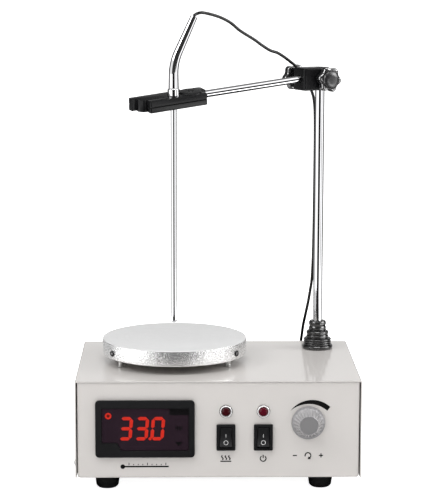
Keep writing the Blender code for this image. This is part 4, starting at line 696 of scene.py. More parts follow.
def add_slab(bm, outline, bottom, top, edge=0.0, segments=3, place=None):
    """A flat outline with a thickness and rounded rims."""
    before = set(bm.verts)
    verts = [bm.verts.new((x, y, bottom)) for x, y in outline]
    face = bm.faces.new(verts)
    grown = bmesh.ops.extrude_face_region(bm, geom=[face])["geom"]
    moved = [g for g in grown if isinstance(g, bmesh.types.BMVert)]
    bmesh.ops.translate(bm, verts=moved, vec=(0, 0, top - bottom))
    new = [v for v in bm.verts if v not in before]
    faces = {f for v in new for f in v.link_faces}
    bmesh.ops.recalc_face_normals(bm, faces=list(faces))
    if edge > 0:
        rims = {
            e for v in new for e in v.link_edges
            if abs(e.verts[0].co.z - e.verts[1].co.z) < 1e-9
        }
        bmesh.ops.bevel(
            bm, geom=list(rims), offset=edge, segments=segments, affect="EDGES", profile=0.5,
            clamp_overlap=True,
        )
    if place is not None:
        new = [v for v in bm.verts if v not in before]
        bmesh.ops.transform(bm, matrix=place, verts=new)


def slab_piece(name, outline, bottom, top, edge, segments, place, finish, smooth=35):
    """A piece of one flat outline with a thickness and rounded rims."""
    bm = bmesh.new()
    add_slab(bm, outline, bottom, top, edge, segments)
    return add_piece(name, bm, place, finish, smooth)


def cut_with(piece, bm):
    """Cuts what was modelled, in the piece's own frame, from a piece for good."""
    mesh = bpy.data.meshes.new("tool")
    bm.to_mesh(mesh)
    bm.free()
    tool = bpy.data.objects.new("tool", mesh)
    bpy.context.scene.collection.objects.link(tool)
    tool.matrix_world = piece.matrix_world
    modifier = piece.modifiers.new("cut", "BOOLEAN")
    modifier.operation = "DIFFERENCE"
    modifier.solver = "EXACT"
    modifier.object = tool
    bpy.context.view_layer.update()
    shaped = piece.evaluated_get(bpy.context.evaluated_depsgraph_get())
    result = bpy.data.meshes.new_from_object(shaped)
    piece.modifiers.clear()
    old = piece.data
    piece.data = result
    bpy.data.meshes.remove(old)
    bpy.data.objects.remove(tool)
    bpy.data.meshes.remove(mesh)
    result.set_sharp_from_angle(angle=math.radians(40))


def add_pin(bm, radius, bottom, top, place, segments):
    """A cylinder between two heights on a place's local Z."""
    at = place @ Matrix.Translation((0, 0, (bottom + top) / 2))
    bmesh.ops.create_cone(
        bm, cap_ends=True, segments=segments, radius1=radius, radius2=radius, depth=top - bottom, matrix=at,
    )


def drill(piece, radius, bottom, top, place=Matrix.Identity(4), segments=48):
    """Cuts a round hole between two heights on a local Z, in the piece's own frame."""
    bm = bmesh.new()
    add_pin(bm, radius, bottom, top, place, segments)
    cut_with(piece, bm)


def mill(piece, size, place):
    """Cuts a box of the given size round a place, in the piece's own frame."""
    bm = bmesh.new()
    bmesh.ops.create_cube(bm, size=1.0, matrix=place @ Matrix.Diagonal((*size, 1.0)))
    cut_with(piece, bm)


def skin(bm, rings):
    """Faces between rings that have as many points each, and across the first and last ring."""
    for first, second in zip(rings, rings[1:]):
        for i in range(len(first)):
            j = (i + 1) % len(first)
            bm.faces.new((first[i], first[j], second[j], second[i]))
    bm.faces.new(list(reversed(rings[0])))
    bm.faces.new(rings[-1])


def sweep(bm, points, radii, sides):
    """A round rod along points, with a radius at each and closed ends."""
    across = (points[1] - points[0]).normalized().orthogonal().normalized()
    rings = []
    for place, point in enumerate(points):
        before = points[max(place - 1, 0)]
        after = points[min(place + 1, len(points) - 1)]
        direction = (after - before).normalized()
        across = (across - direction * across.dot(direction)).normalized()
        side = direction.cross(across)
        ring = circle(0, 0, radii[place], sides)
        rings.append([bm.verts.new(point + across * x + side * y) for x, y in ring])
    skin(bm, rings)


class StirrerOperator:
    """What the stirrer's operators share."""

    bl_options = {"REGISTER", "UNDO"}


class STIRRER_OT_case(StirrerOperator, bpy.types.Operator):
    """Paint the folded case and finish the pieces inside it"""

    bl_idname = "stirrer.case"
    bl_label = "Case"

    def execute(self, context):
        finishes = {
            "paint": ("base_pan", "cover"),
            "steel": ("motor", "motor_bracket", "speed_pot", "pot_shaft", "mast_nut"),
            "aluminium": ("magnet_carrier",),
            "magnet": ("magnet_left", "magnet_right"),
            "ceramic": ("heater_element",),
            "circuit": ("control_board", "display_board"),
            "brass": ("pot_nut",),
        }
        for finish, names in finishes.items():
            for name in names:
                paint_node(name, finish)
        return {"FINISHED"}


class STIRRER_OT_feet(StirrerOperator, bpy.types.Operator):
    """Model the rubber feet"""

    bl_idname = "stirrer.feet"
    bl_label = "Feet"

    def execute(self, context):
        shoulder = low("base_pan").z - FIT
        for name in ("foot_front_left", "foot_front_right", "foot_rear_left", "foot_rear_right"):
            at = middle(name)
            top = high(name).z
            radius = (high(name).x - low(name).x) / 2
            profile = [
                (0, top, 0), (0.0022, top, 0.0006), (0.0025, top - 0.002, 0), (0.0025, shoulder, 0),
                (radius, shoulder, 0.0005), (radius, shoulder - 0.0012, 0.0004),
                (radius - 0.0006, shoulder - 0.0018, 0.0004), (radius - 0.0017, 0.0015, 0.0022),
                (radius - 0.0034, 0.0, 0.0008), (0.0034, 0.0, 0.0003), (0.0030, 0.0010, 0.0003),
                (0, 0.0010, 0),
            ]
            foot = turned_piece(name + "_rubber", profile, Matrix.Translation((at.x, at.y, 0)), "rubber", 48)
            dress(foot, "case", "black_rubber", name)
        return {"FINISHED"}


def pan_screw(name, place):
    """A pan-head screw with a cross recess, local Z out of its hole."""
    radius = 0.0030
    height = 0.0016
    shank = 0.0015
    length = 0.006
    top = FIT + height
    profile = [
        (0, top, 0), (radius * 0.72, top, radius * 0.5), (radius, FIT + height * 0.35, radius * 0.25),
        (radius, FIT, 0), (shank, FIT, 0), (shank, -length, 0.0003), (0, -length, 0),
    ]
    screw = turned_piece(name + "_head", profile, place, "steel", 32)
    for turn in (0, math.pi / 2):
        at = Matrix.Rotation(turn, 4, "Z") @ Matrix.Translation((0, 0, top))
        mill(screw, (radius * 1.1, radius * 0.24, height * 0.9), at)
    dress(screw, "case", "steel", name)


def socket_screw(name, place):
    """A blackened, low-headed screw with a hexagon socket whose floor is painted pale as a highlight, local Z
    out of its hole.
    """
    radius = 0.0024
    shank = 0.0015
    socket = 0.0014
    length = 0.005
    top = FIT + 0.0008
    profile = [
        (0, top, 0), (radius - 0.0002, top, 0.0003), (radius, top - 0.0004, 0.0002), (radius, FIT, 0),
        (shank, FIT, 0), (shank, -length, 0.0003), (0, -length, 0),
    ]
    screw = turned_piece(name + "_head", profile, place, "dark_steel", 36)
    drill(screw, socket, FIT, 0.002, segments=6)
    # Painted highlight: the socket's floor takes the pale lamp-ring finish, so the dark head shows a light
    # centre.
    finish_faces(
        screw, "ring",
        lambda face: abs(face.center.z - FIT) < 0.0001 and face.center.xy.length < socket,
    )
    dress(screw, "case", "steel", name)


def rim_seat(number):
    """Where a rim screw sits on the plate's rim, and the way out from there."""
    at = middle(f"rim_screw_{number}")
    out = Vector((at.x - PLATE.x, at.y - PLATE.y, 0)).normalized()
    return Vector((PLATE.x, PLATE.y, at.z)) + out * PLATE_RADIUS, out


class STIRRER_OT_screws(StirrerOperator, bpy.types.Operator):
    """Model the screws in the cover's sides and in the plate's rim"""

    bl_idname = "stirrer.screws"
    bl_label = "Screws"

    def execute(self, context):
        sides = (("left", low("cover").x, -1), ("right", high("cover").x, 1))
        for end in ("front", "rear"):
            for side, x, sign in sides:
                name = f"cover_screw_{end}_{side}"
                at = middle(name)
                at.x = x
                pan_screw(name, facing_place(at, Vector((sign, 0, 0))))
        for number in (1, 2, 3):
            socket_screw(f"rim_screw_{number}", facing_place(*rim_seat(number)))
        return {"FINISHED"}


class STIRRER_OT_plate(StirrerOperator, bpy.types.Operator):
    """Model the hot plate and its posts"""

    bl_idname = "stirrer.plate"
    bl_label = "Hot plate"

    def execute(self, context):
        edge = sizes().plate_edge
        height = high("hot_plate").z - PLATE_BOTTOM
        pocket = 0.0438
        profile = [
            (0, height, 0), (PLATE_RADIUS - 0.0035, height, 0), (PLATE_RADIUS - 0.0030, height, 0.0002),
            (PLATE_RADIUS, height - 0.0002, edge), (PLATE_RADIUS, 0.0, edge),
            (PLATE_RADIUS - 0.004, 0.0, 0.0002), (pocket, 0.0, 0.0003), (pocket, 0.008, 0.0005),
            (0, 0.008, 0),
        ]
        origin = Vector((PLATE.x, PLATE.y, PLATE_BOTTOM))
        plate = turned_piece("hot_plate_disc", profile, Matrix.Translation(origin), "plate", 144)
        wells = bmesh.new()
        for number in (1, 2, 3):
            seat, out = rim_seat(number)
            add_pin(wells, 0.0018, -0.0055, 0.002, facing_place(seat - origin, out), 20)
            post = middle(f"plate_post_{number}")
            spot = Matrix.Translation((post.x - PLATE.x, post.y - PLATE.y, 0))
            add_pin(wells, 0.0019, -0.002, 0.0053, spot, 20)
        cut_with(plate, wells)
        finish_faces(
            plate, "rim",
            lambda face: abs(face.normal.z) < 0.35 and face.center.xy.length > PLATE_RADIUS - 0.001,
        )
        dress(plate, "case", "aluminium", "hot_plate")
        for number in (1, 2, 3):
            self.post(f"plate_post_{number}")
        return {"FINISHED"}

    def post(self, name):
        """A waisted post with a stud at each end."""
        at = middle(name)
        top = PLATE_BOTTOM - CASE_TOP - FIT
        radius = 0.0026
        waist = 0.0022
        stud = 0.0016
        profile = [
            (0, top + 0.0053, 0), (stud, top + 0.0053, 0.0004), (stud, top, 0), (radius, top, 0.0003),
            (radius, top * 0.72, 0.0002), (waist, top * 0.66, 0.0002), (waist, top * 0.34, 0.0002),
            (radius, top * 0.28, 0.0002), (radius, FIT, 0.0003), (stud, FIT, 0), (stud, -0.0080, 0.0004),
            (0, -0.0080, 0),
        ]
        place = Matrix.Translation((at.x, at.y, CASE_TOP))
        post = turned_piece(name + "_pillar", profile, place, "steel", 40)
        dress(post, "case", "steel", name)


# Which segments are lit for a digit: top, upper left, upper right, middle, lower left, lower right, bottom
SEGMENTS = {"0": "1110111", "3": "1011011"}
READING = ("3", "3", "0")


def segment_outlines(width, height, stroke):
    """The seven bars of a digit as outlines round its middle."""
    half = stroke / 2
    gap = stroke * 0.06
    x = width / 2 - half
    y = height / 2 - half

    def bar(cx, cy, length, upright):
        """One bar with pointed ends, round its own middle."""
        reach = length / 2 - gap
        flat = [
            (-reach, 0), (-reach + half, half), (reach - half, half),
            (reach, 0), (reach - half, -half), (-reach + half, -half),
        ]
        return [(cx - b, cy + a) if upright else (cx + a, cy + b) for a, b in flat]

    return [
        bar(0, y, 2 * x, False),
        bar(-x, y / 2, y, True),
        bar(x, y / 2, y, True),
        bar(0, 0, 2 * x, False),
        bar(-x, -y / 2, y, True),
        bar(x, -y / 2, y, True),
        bar(0, -y, 2 * x, False),
    ]


class STIRRER_OT_display(StirrerOperator, bpy.types.Operator):
    """Finish the display's housing and window, and light its digits"""

    bl_idname = "stirrer.display"
    bl_label = "Display"

    def execute(self, context):
        paint_node("display_housing", "satin")
        paint_node("display_window", "window")
        face = FRONT_Y - low("display_window").y
        self.digits(front_place(*DIGITS_AT, face))
        self.lamp(front_place(*DISPLAY_LAMP_AT, face))
        self.keys(front_place(*KEYS_AT, face))
        return {"FINISHED"}

    def digits(self, place):
        """The lit reading with its dot."""
        height = sizes().digit_height
        stroke = sizes().digit_stroke
        pitch = 0.0128
        slant = math.tan(math.radians(4.5))
        outlines = segment_outlines(height * 0.56, height, stroke)
        bottom = 0.00003
        top = 0.00020
        lit = bmesh.new()
        for number, digit in enumerate(READING):
            shift = (number - 1) * pitch
            for state, outline in zip(SEGMENTS[digit], outlines):
                if state == "1":
                    leaned = [(x + shift + y * slant, y) for x, y in outline]
                    add_slab(lit, leaned, bottom, top, 0.00005, 1)
        dot = circle(pitch * 0.5 + 0.0002, -height / 2 + stroke * 0.5, stroke * 0.46, 16)
        add_slab(lit, dot, bottom, top)
        dress(add_piece("display_digits", lit, place, "digits"), "case", "smoked_window")

    def lamp(self, place):
        """A lit ring with a dimmer core."""
        outer = 0.0026
        inner = 0.0013
        bottom = 0.00003
        profile = [(outer, bottom, 0), (outer, FIT, 0.0001), (inner, FIT, 0.0001), (inner, bottom, 0)]
        ring = turned_piece("display_lamp", profile, place, "digits", 40, ring=True)
        dress(ring, "case", "smoked_window")
        profile = [(0, 0.00012, 0), (inner, 0.00012, 0), (inner, bottom, 0), (0, bottom, 0)]
        core = turned_piece("display_lamp_core", profile, place, "digit_core", 24)
        dress(core, "case", "smoked_window")

    def keys(self, place):
        """Faint signs of three keys on the window: up, on a dark field, then set and down."""
        bottom = 0.00003
        top = 0.0001
        legends = bmesh.new()
        add_slab(legends, rectangle(0.0005, 0.0138, 0.0160, 0.0055), 0.00002, 0.00004)
        for y, sign in ((0.0135, 1), (-0.0125, -1)):
            arrow = [(-0.0030, y - 0.0016 * sign), (0.0030, y - 0.0016 * sign), (0, y + 0.0022 * sign)]
            add_slab(legends, arrow, bottom, top)
        for x in (-0.0020, 0.0, 0.0020):
            add_slab(legends, rectangle(x, 0.0005, 0.0012, 0.0034), bottom, top)
        dress(add_piece("display_legends", legends, place, "dim"), "case", "smoked_window")


def flat_ring(bm, outer, inner, thickness, place):
    """A flat ring as two half bands."""
    for start in (0, 180):
        rim = arc(0, 0, outer, start, start + 180, 24)
        hole = arc(0, 0, inner, start + 180, start, 24)
        add_slab(bm, rim + hole, 0, thickness, place=place)


class STIRRER_OT_switches(StirrerOperator, bpy.types.Operator):
    """Model the rockers with their marks and finish their housings"""

    bl_idname = "stirrer.switches"
    bl_label = "Rocker switches"

    def execute(self, context):
        pressed = Matrix.Rotation(math.radians(-10), 4, "X")
        # A rocker's section is drawn with X outwards and Y up, and is pulled along the panel's X
        section = Matrix(((0, 0, 1, 0), (-1, 0, 0, 0), (0, 1, 0, 0), (0, 0, 0, 1)))
        lower = arc(0, 0, ROCKER_RADIUS, -110, -64, 10)
        upper = [(x, -y) for x, y in reversed(lower)]
        forward, rise = upper[0]
        shares = [i / 10 - 1 for i in range(1, 20)]
        face = [(self.lift(abs(share), forward), share * rise) for share in shares]
        for name in ("heat", "power"):
            paint_node(name + "_switch", "satin")
            body = name + "_rocker"
            place = Matrix.Translation(joint_at(name + "_rock")) @ pressed
            half = (high(body).x - low(body).x) / 2
            rocker = slab_piece(
                body + "_key", lower + face + upper, -half, half, 0.0006, 3, place @ section, "rocker", 30,
            )
            dress(rocker, body, "black_plastic", body)
            marks = bmesh.new()
            ink = 0.00008
            add_slab(marks, rectangle(0, 0, 0.0003, 0.0026), 0, ink, place=self.spot(0.13, forward, rise))
            flat_ring(marks, 0.0018, 0.0015, ink, self.spot(-0.58, forward, rise))
            dress(add_piece(body + "_marks", marks, place, "white_ink"), body, "black_plastic")
        return {"FINISHED"}

    def lift(self, share, forward):
        """How far the dished face stands out, by a share of the way from its valley to its end."""
        return ROCKER_VALLEY + (forward - ROCKER_VALLEY) * share - ROCKER_DISH * math.sin(math.pi * share)

    def spot(self, share, forward, rise):
        """A place just off the face, above its valley for a positive share and below for a negative one."""
        far = abs(share)
        slope = (forward - ROCKER_VALLEY - ROCKER_DISH * math.pi * math.cos(math.pi * far)) / rise
        tilt = Matrix.Rotation(math.pi / 2 + math.copysign(math.atan(slope), share), 4, "X")
        return Matrix.Translation((0, -self.lift(far, forward) - 0.00006, share * rise)) @ tilt


class STIRRER_OT_lamps(StirrerOperator, bpy.types.Operator):
    """Model the indicator lamps"""

    bl_idname = "stirrer.lamps"
    bl_label = "Indicator lamps"

    def execute(self, context):
        bezel = [
            (0.0038, 0.0010, 0.0002), (0.0040, 0.0017, 0.0004), (0.0045, 0.0021, 0.0006),
            (0.0049, 0.0016, 0.0004), (0.0050, 0.0006, 0.0001), (0.0042, 0.0006, 0),
            (0.0042, -0.012, 0.0002), (0.0038, -0.012, 0.0002),
        ]
        # Painted shade: a thin dark rubber ring just outside the chrome bezel stands in for the shadow in the
        # gap round it on the panel.
        shadow_gap_ring = [(0.0043, 0.00058, 0), (0.0053, 0.00058, 0.0001), (0.0053, FIT, 0), (0.0043, FIT, 0)]
        lens = [
            (0, 0.0033, 0), (0.0018, 0.0031, 0.002), (0.0031, 0.0024, 0.001), (0.0035, 0.0014, 0.0005),
            (0.0035, -0.0039, 0.0003), (0, -0.0039, 0),
        ]
        for name, finish in (("heat_lamp", "lamp_dark"), ("power_lamp", "lamp_lit")):
            at = middle(name + "_bezel")
            place = front_place(at.x, at.z)
            ring = turned_piece(name + "_ring", bezel, place, "ring", ring=True)
            dress(ring, "case", "chrome", name + "_bezel")
            shadow_gap_piece = turned_piece(name + "_gasket", shadow_gap_ring, place, "rubber", ring=True)
            dress(shadow_gap_piece, "case", "black_rubber")
            dome = turned_piece(name + "_dome", lens, place, finish, 48)
            dress(dome, "case", "red_lens", name + "_lens")
        return {"FINISHED"}


class STIRRER_OT_knob(StirrerOperator, bpy.types.Operator):
    """Model the fluted speed knob"""

    bl_idname = "stirrer.knob"
    bl_label = "Speed knob"

    def execute(self, context):
        at = middle("speed_knob")
        place = front_place(at.x, at.z)
        base = FRONT_Y - high("speed_knob").y
        front = FRONT_Y - low("speed_knob").y
        # Rings from the bore's end over the skirt to the front: height, radius and depth of the flutes
        rings = [
            (base + 0.0089, 0.0028, 0), (base + 0.0036, 0.0028, 0), (base + 0.0036, 0.0078, 0),
            (base, 0.0078, 0), (base, 0.0135, 0), (base + 0.0010, 0.0135, 0), (base + 0.0014, 0.0133, 0),
            (base + 0.0016, 0.0123, 0.1), (base + 0.0020, 0.0119, 0.6), (base + 0.0030, 0.0114, 1.0),
            (base + 0.0055, 0.0102, 1.0), (base + 0.0080, 0.0090, 1.0), (front - 0.0009, 0.0082, 0.8),
            (front - 0.0003, 0.0078, 0.2), (front, 0.0075, 0), (front, 0.0071, 0),
            (front - 0.0004, 0.0069, 0), (front - 0.0004, 0.0040, 0),
        ]
        flutes = sizes().knob_flutes
        bm = bmesh.new()
        skin(bm, [self.ring(bm, flutes, *ring) for ring in rings])
        dress(add_piece("speed_knob_body", bm, place, "knob", 35), "speed", "grey_plastic", "speed_knob")
        profile = [(0, front - 0.0001, 0), (0.0066, front - 0.0001, 0.0002), (0.0068, front - 0.00038, 0)]
        dress(turned_piece("speed_knob_cap", profile, place, "knob_cap", 96), "speed", "grey_plastic")
        return {"FINISHED"}

    def ring(self, bm, flutes, height, radius, depth):
        """A ring of points, six to a flute."""
        count = flutes * 6
        points = []
        for i in range(count):
            angle = 2 * math.pi * i / count
            wave = 0.5 - 0.5 * math.cos(flutes * angle)
            reach = radius - 0.0007 * depth * wave ** 1.5
            points.append(bm.verts.new((reach * math.cos(angle), reach * math.sin(angle), height)))
        return points


def print_outline(bm, outline):
    """A flat print in the shape of an outline."""
    add_slab(bm, outline, INK_BOTTOM, INK_TOP)


def print_line(bm, points, width=INK_LINE):
    """A printed line of even width through points."""
    left = []
    right = []
    for i, point in enumerate(points):
        before = Vector(points[max(i - 1, 0)])
        after = Vector(points[min(i + 1, len(points) - 1)])
        along = (after - before).normalized()
        across = Vector((-along.y, along.x)) * width / 2
        left.append(tuple(Vector(point) + across))
        right.append(tuple(Vector(point) - across))
    print_outline(bm, left + right[::-1])


class STIRRER_OT_print(StirrerOperator, bpy.types.Operator):
    """Print the speed wedge and plain signs on the front panel"""

    bl_idname = "stirrer.print"
    bl_label = "Panel print"

    def execute(self, context):
        at = middle("speed_knob")
        ink = bmesh.new()
        outer = arc(0.0030, -0.0029, 0.02135, 143.5, 46.9, 32)
        inner = arc(0.0004, -0.0069, 0.02209, 131.2, 48.1, 32)
        print_outline(ink, outer + inner[::-1][:-1])
        dress(add_piece("speed_wedge", ink, front_place(at.x, at.z), "ink"), "case", "paint")
        signs = bmesh.new()
        self.warm_sign(signs, middle("heat_switch").x, 0.0272)
        self.power_sign(signs, middle("power_switch").x, 0.0272)
        self.turn_sign(signs, at.x, 0.0296)
        self.degree_sign(signs, middle("display_housing").x, 0.0208)
        dress(add_piece("panel_signs", signs, front_place(0, 0), "ink"), "case", "paint")
        return {"FINISHED"}

    def warm_sign(self, bm, x, z):
        """Three rising waves over a bar."""
        for shift in (-0.0028, 0.0, 0.0028):
            wave = [
                (x + shift + 0.0006 * math.sin(2 * math.pi * i / 12), z - 0.0010 + 0.0036 * i / 12)
                for i in range(13)
            ]
            print_line(bm, wave)
        print_line(bm, [(x - 0.0044, z - 0.0022), (x + 0.0044, z - 0.0022)])

    def power_sign(self, bm, x, z):
        """An open ring with a bar."""
        print_line(bm, arc(x, z, 0.0023, 125, 415, 32))
        print_line(bm, [(x, z + 0.0004), (x, z + 0.0030)])

    def turn_sign(self, bm, x, z):
        """A round arrow between a minus and a plus."""
        last = -50
        ring = arc(x, z, 0.0023, 200, last, 32)
        print_line(bm, ring)
        tip = math.radians(last)
        end = Vector(ring[-1])
        along = Vector((math.sin(tip), -math.cos(tip)))
        across = Vector((math.cos(tip), math.sin(tip)))
        head = [end + across * 0.0014, end + along * 0.0022, end - across * 0.0014]
        print_outline(bm, [tuple(point) for point in head])
        side = 0.0105
        reach = 0.0017
        for middle_x in (x - side, x + side):
            print_line(bm, [(middle_x - reach, z), (middle_x + reach, z)])
        for start, stop in ((0.00047, reach), (-reach, -0.00047)):
            print_line(bm, [(x + side, z + start), (x + side, z + stop)])

    def degree_sign(self, bm, x, z):
        """A lying thermometer with its scale."""
        start = x - 0.0180
        print_outline(bm, circle(start, z, 0.0019, 28))
        print_line(bm, [(start + 0.0018, z), (x + 0.0190, z)], 0.0012)
        for number in range(9):
            mark = start + 0.0050 + 0.0037 * number
            reach = 0.0032 if number % 4 == 0 else 0.0022
            print_line(bm, [(mark, z + 0.0011), (mark, z + reach)], 0.0006)


class STIRRER_OT_mast(StirrerOperator, bpy.types.Operator):
    """Model the mast and its stepped boot"""

    bl_idname = "stirrer.mast"
    bl_label = "Mast"

    def execute(self, context):
        axis = Matrix.Translation((MAST.x, MAST.y, 0))
        mast = rod("mast_rod", MAST_RADIUS, low("mast").z, high("mast").z, 0.0005, axis)
        dress(mast, "mast", "chrome", "mast")
        seat = low("mast_boot").z
        bore = MAST_RADIUS + FIT
        # Tiers from the top down: radius, height above the case and beads round it
        tiers = ((0.0074, 0.0243, 2), (0.0095, 0.0156, 2), (0.0118, 0.0092, 3), (0.0131, 0.0034, 1))
        tops = [CASE_TOP + rise for _, rise, _ in tiers]
        profile = [(bore, seat, 0), (bore, tops[0], 0.0004)]
        for (radius, _, beads), top, foot in zip(tiers, tops, [*tops[1:], seat]):
            pitch = (top - foot) / beads
            for bead in range(beads):
                crest = top - pitch * bead
                profile += [
                    (radius - 0.0007, crest - pitch * 0.02, 0.0005), (radius, crest - pitch * 0.30, 0.0006),
                    (radius, crest - pitch * 0.70, 0.0005), (radius - 0.0005, crest - pitch * 0.96, 0.0002),
                ]
        profile.append((0.0120, seat, 0))
        boot = turned_piece("mast_boot_rubber", profile, axis, "rubber", 72, ring=True, smooth=50)
        dress(boot, "case", "black_rubber", "mast_boot")
        return {"FINISHED"}


def lobed_outline(radius, lobe, lobes, count, turn):
    """A hand knob's outline: round lobes with hollows between them."""
    outline = []
    for i in range(count):
        angle = 2 * math.pi * i / count
        reach = radius + lobe * (math.cos(lobes * (angle + turn)) - 1)
        outline.append((reach * math.cos(angle), reach * math.sin(angle)))
    return outline


class STIRRER_OT_boss(StirrerOperator, bpy.types.Operator):
    """Model the clamp block and its two hand knobs"""

    bl_idname = "stirrer.boss"
    bl_label = "Boss and clamps"

    def execute(self, context):
        place = axes_place(Vector((MAST.x, MAST.y, BOSS_Z)), ARM_LEVEL, UP)
        local = place.inverted()
        rise = (high("boss_body").z - low("boss_body").z) / 2
        outline = rounded(
            [
                (0, -BOSS_BACK, 0), (BOSS_REACH, -BOSS_BACK, 0.0022), (BOSS_REACH, BOSS_FRONT, 0.0022),
                (0, BOSS_FRONT, 0),
            ],
        )
        outline += arc(0, 0, BOSS_FRONT, 90, 180, 12)[1:]
        outline += arc(BOSS_BACK - BOSS_FRONT, 0, BOSS_BACK, 180, 270, 12)[1:]
        boss = slab_piece("boss_block", outline[1:], -rise, rise, 0.0013, 4, place, "clip")
        drill(boss, MAST_RADIUS + FIT, -0.02, 0.02, segments=32)
        arm_place = local @ facing_place(ARM_START, ARM_DIRECTION)
        drill(boss, ARM_RADIUS + FIT, -ARM_SOCKET - FIT, 0.004, arm_place, 32)
        for name, depth in (("mast_clamp_turn", BOSS_FRONT), ("arm_clamp_turn", BOSS_BACK)):
            drill(boss, STUD_RADIUS + FIT, -depth + 0.0015, 0.002, local @ joint_place(name), 24)
        dress(boss, "boss", "black_plastic", "boss_body")
        self.clamp("mast_clamp", 0.0018, 0.0060, 0.0037)
        self.clamp("arm_clamp", 0.0036, 0.0035, 0.0074)
        return {"FINISHED"}

    def clamp(self, name, neck, neck_radius, stud):
        """A six-lobed hand knob with a domed cap, on a neck and a stud."""
        place = joint_place(name + "_turn")
        bottom = FIT + neck
        top = bottom + 0.0075
        outline = lobed_outline(0.0110, 0.0010, 6, 96, math.radians(8))
        head = slab_piece(name + "_star", outline, bottom, top, 0.0020, 5, place, "star")
        drill(head, 0.0082, top - 0.0006, top + 0.002, segments=64)
        dress(head, name, "black_plastic", name + "_knob")
        profile = [
            (0, top + 0.0030, 0), (0.0044, top + 0.0028, 0.006), (0.0070, top + 0.0014, 0.0015),
            (0.0075, top - 0.0003, 0.0003), (0.0075, top - 0.00058, 0), (0, top - 0.00058, 0),
        ]
        dress(turned_piece(name + "_cap", profile, place, "cap"), name, "black_plastic")
        seat = bottom - 0.00002
        profile = [
            (0, seat, 0), (neck_radius, seat, 0), (neck_radius, FIT, 0.0004), (STUD_RADIUS, FIT, 0),
            (STUD_RADIUS, -stud, 0.0003), (0, -stud, 0),
        ]
        dress(turned_piece(name + "_neck", profile, place, "plastic", 48), name, "black_plastic")


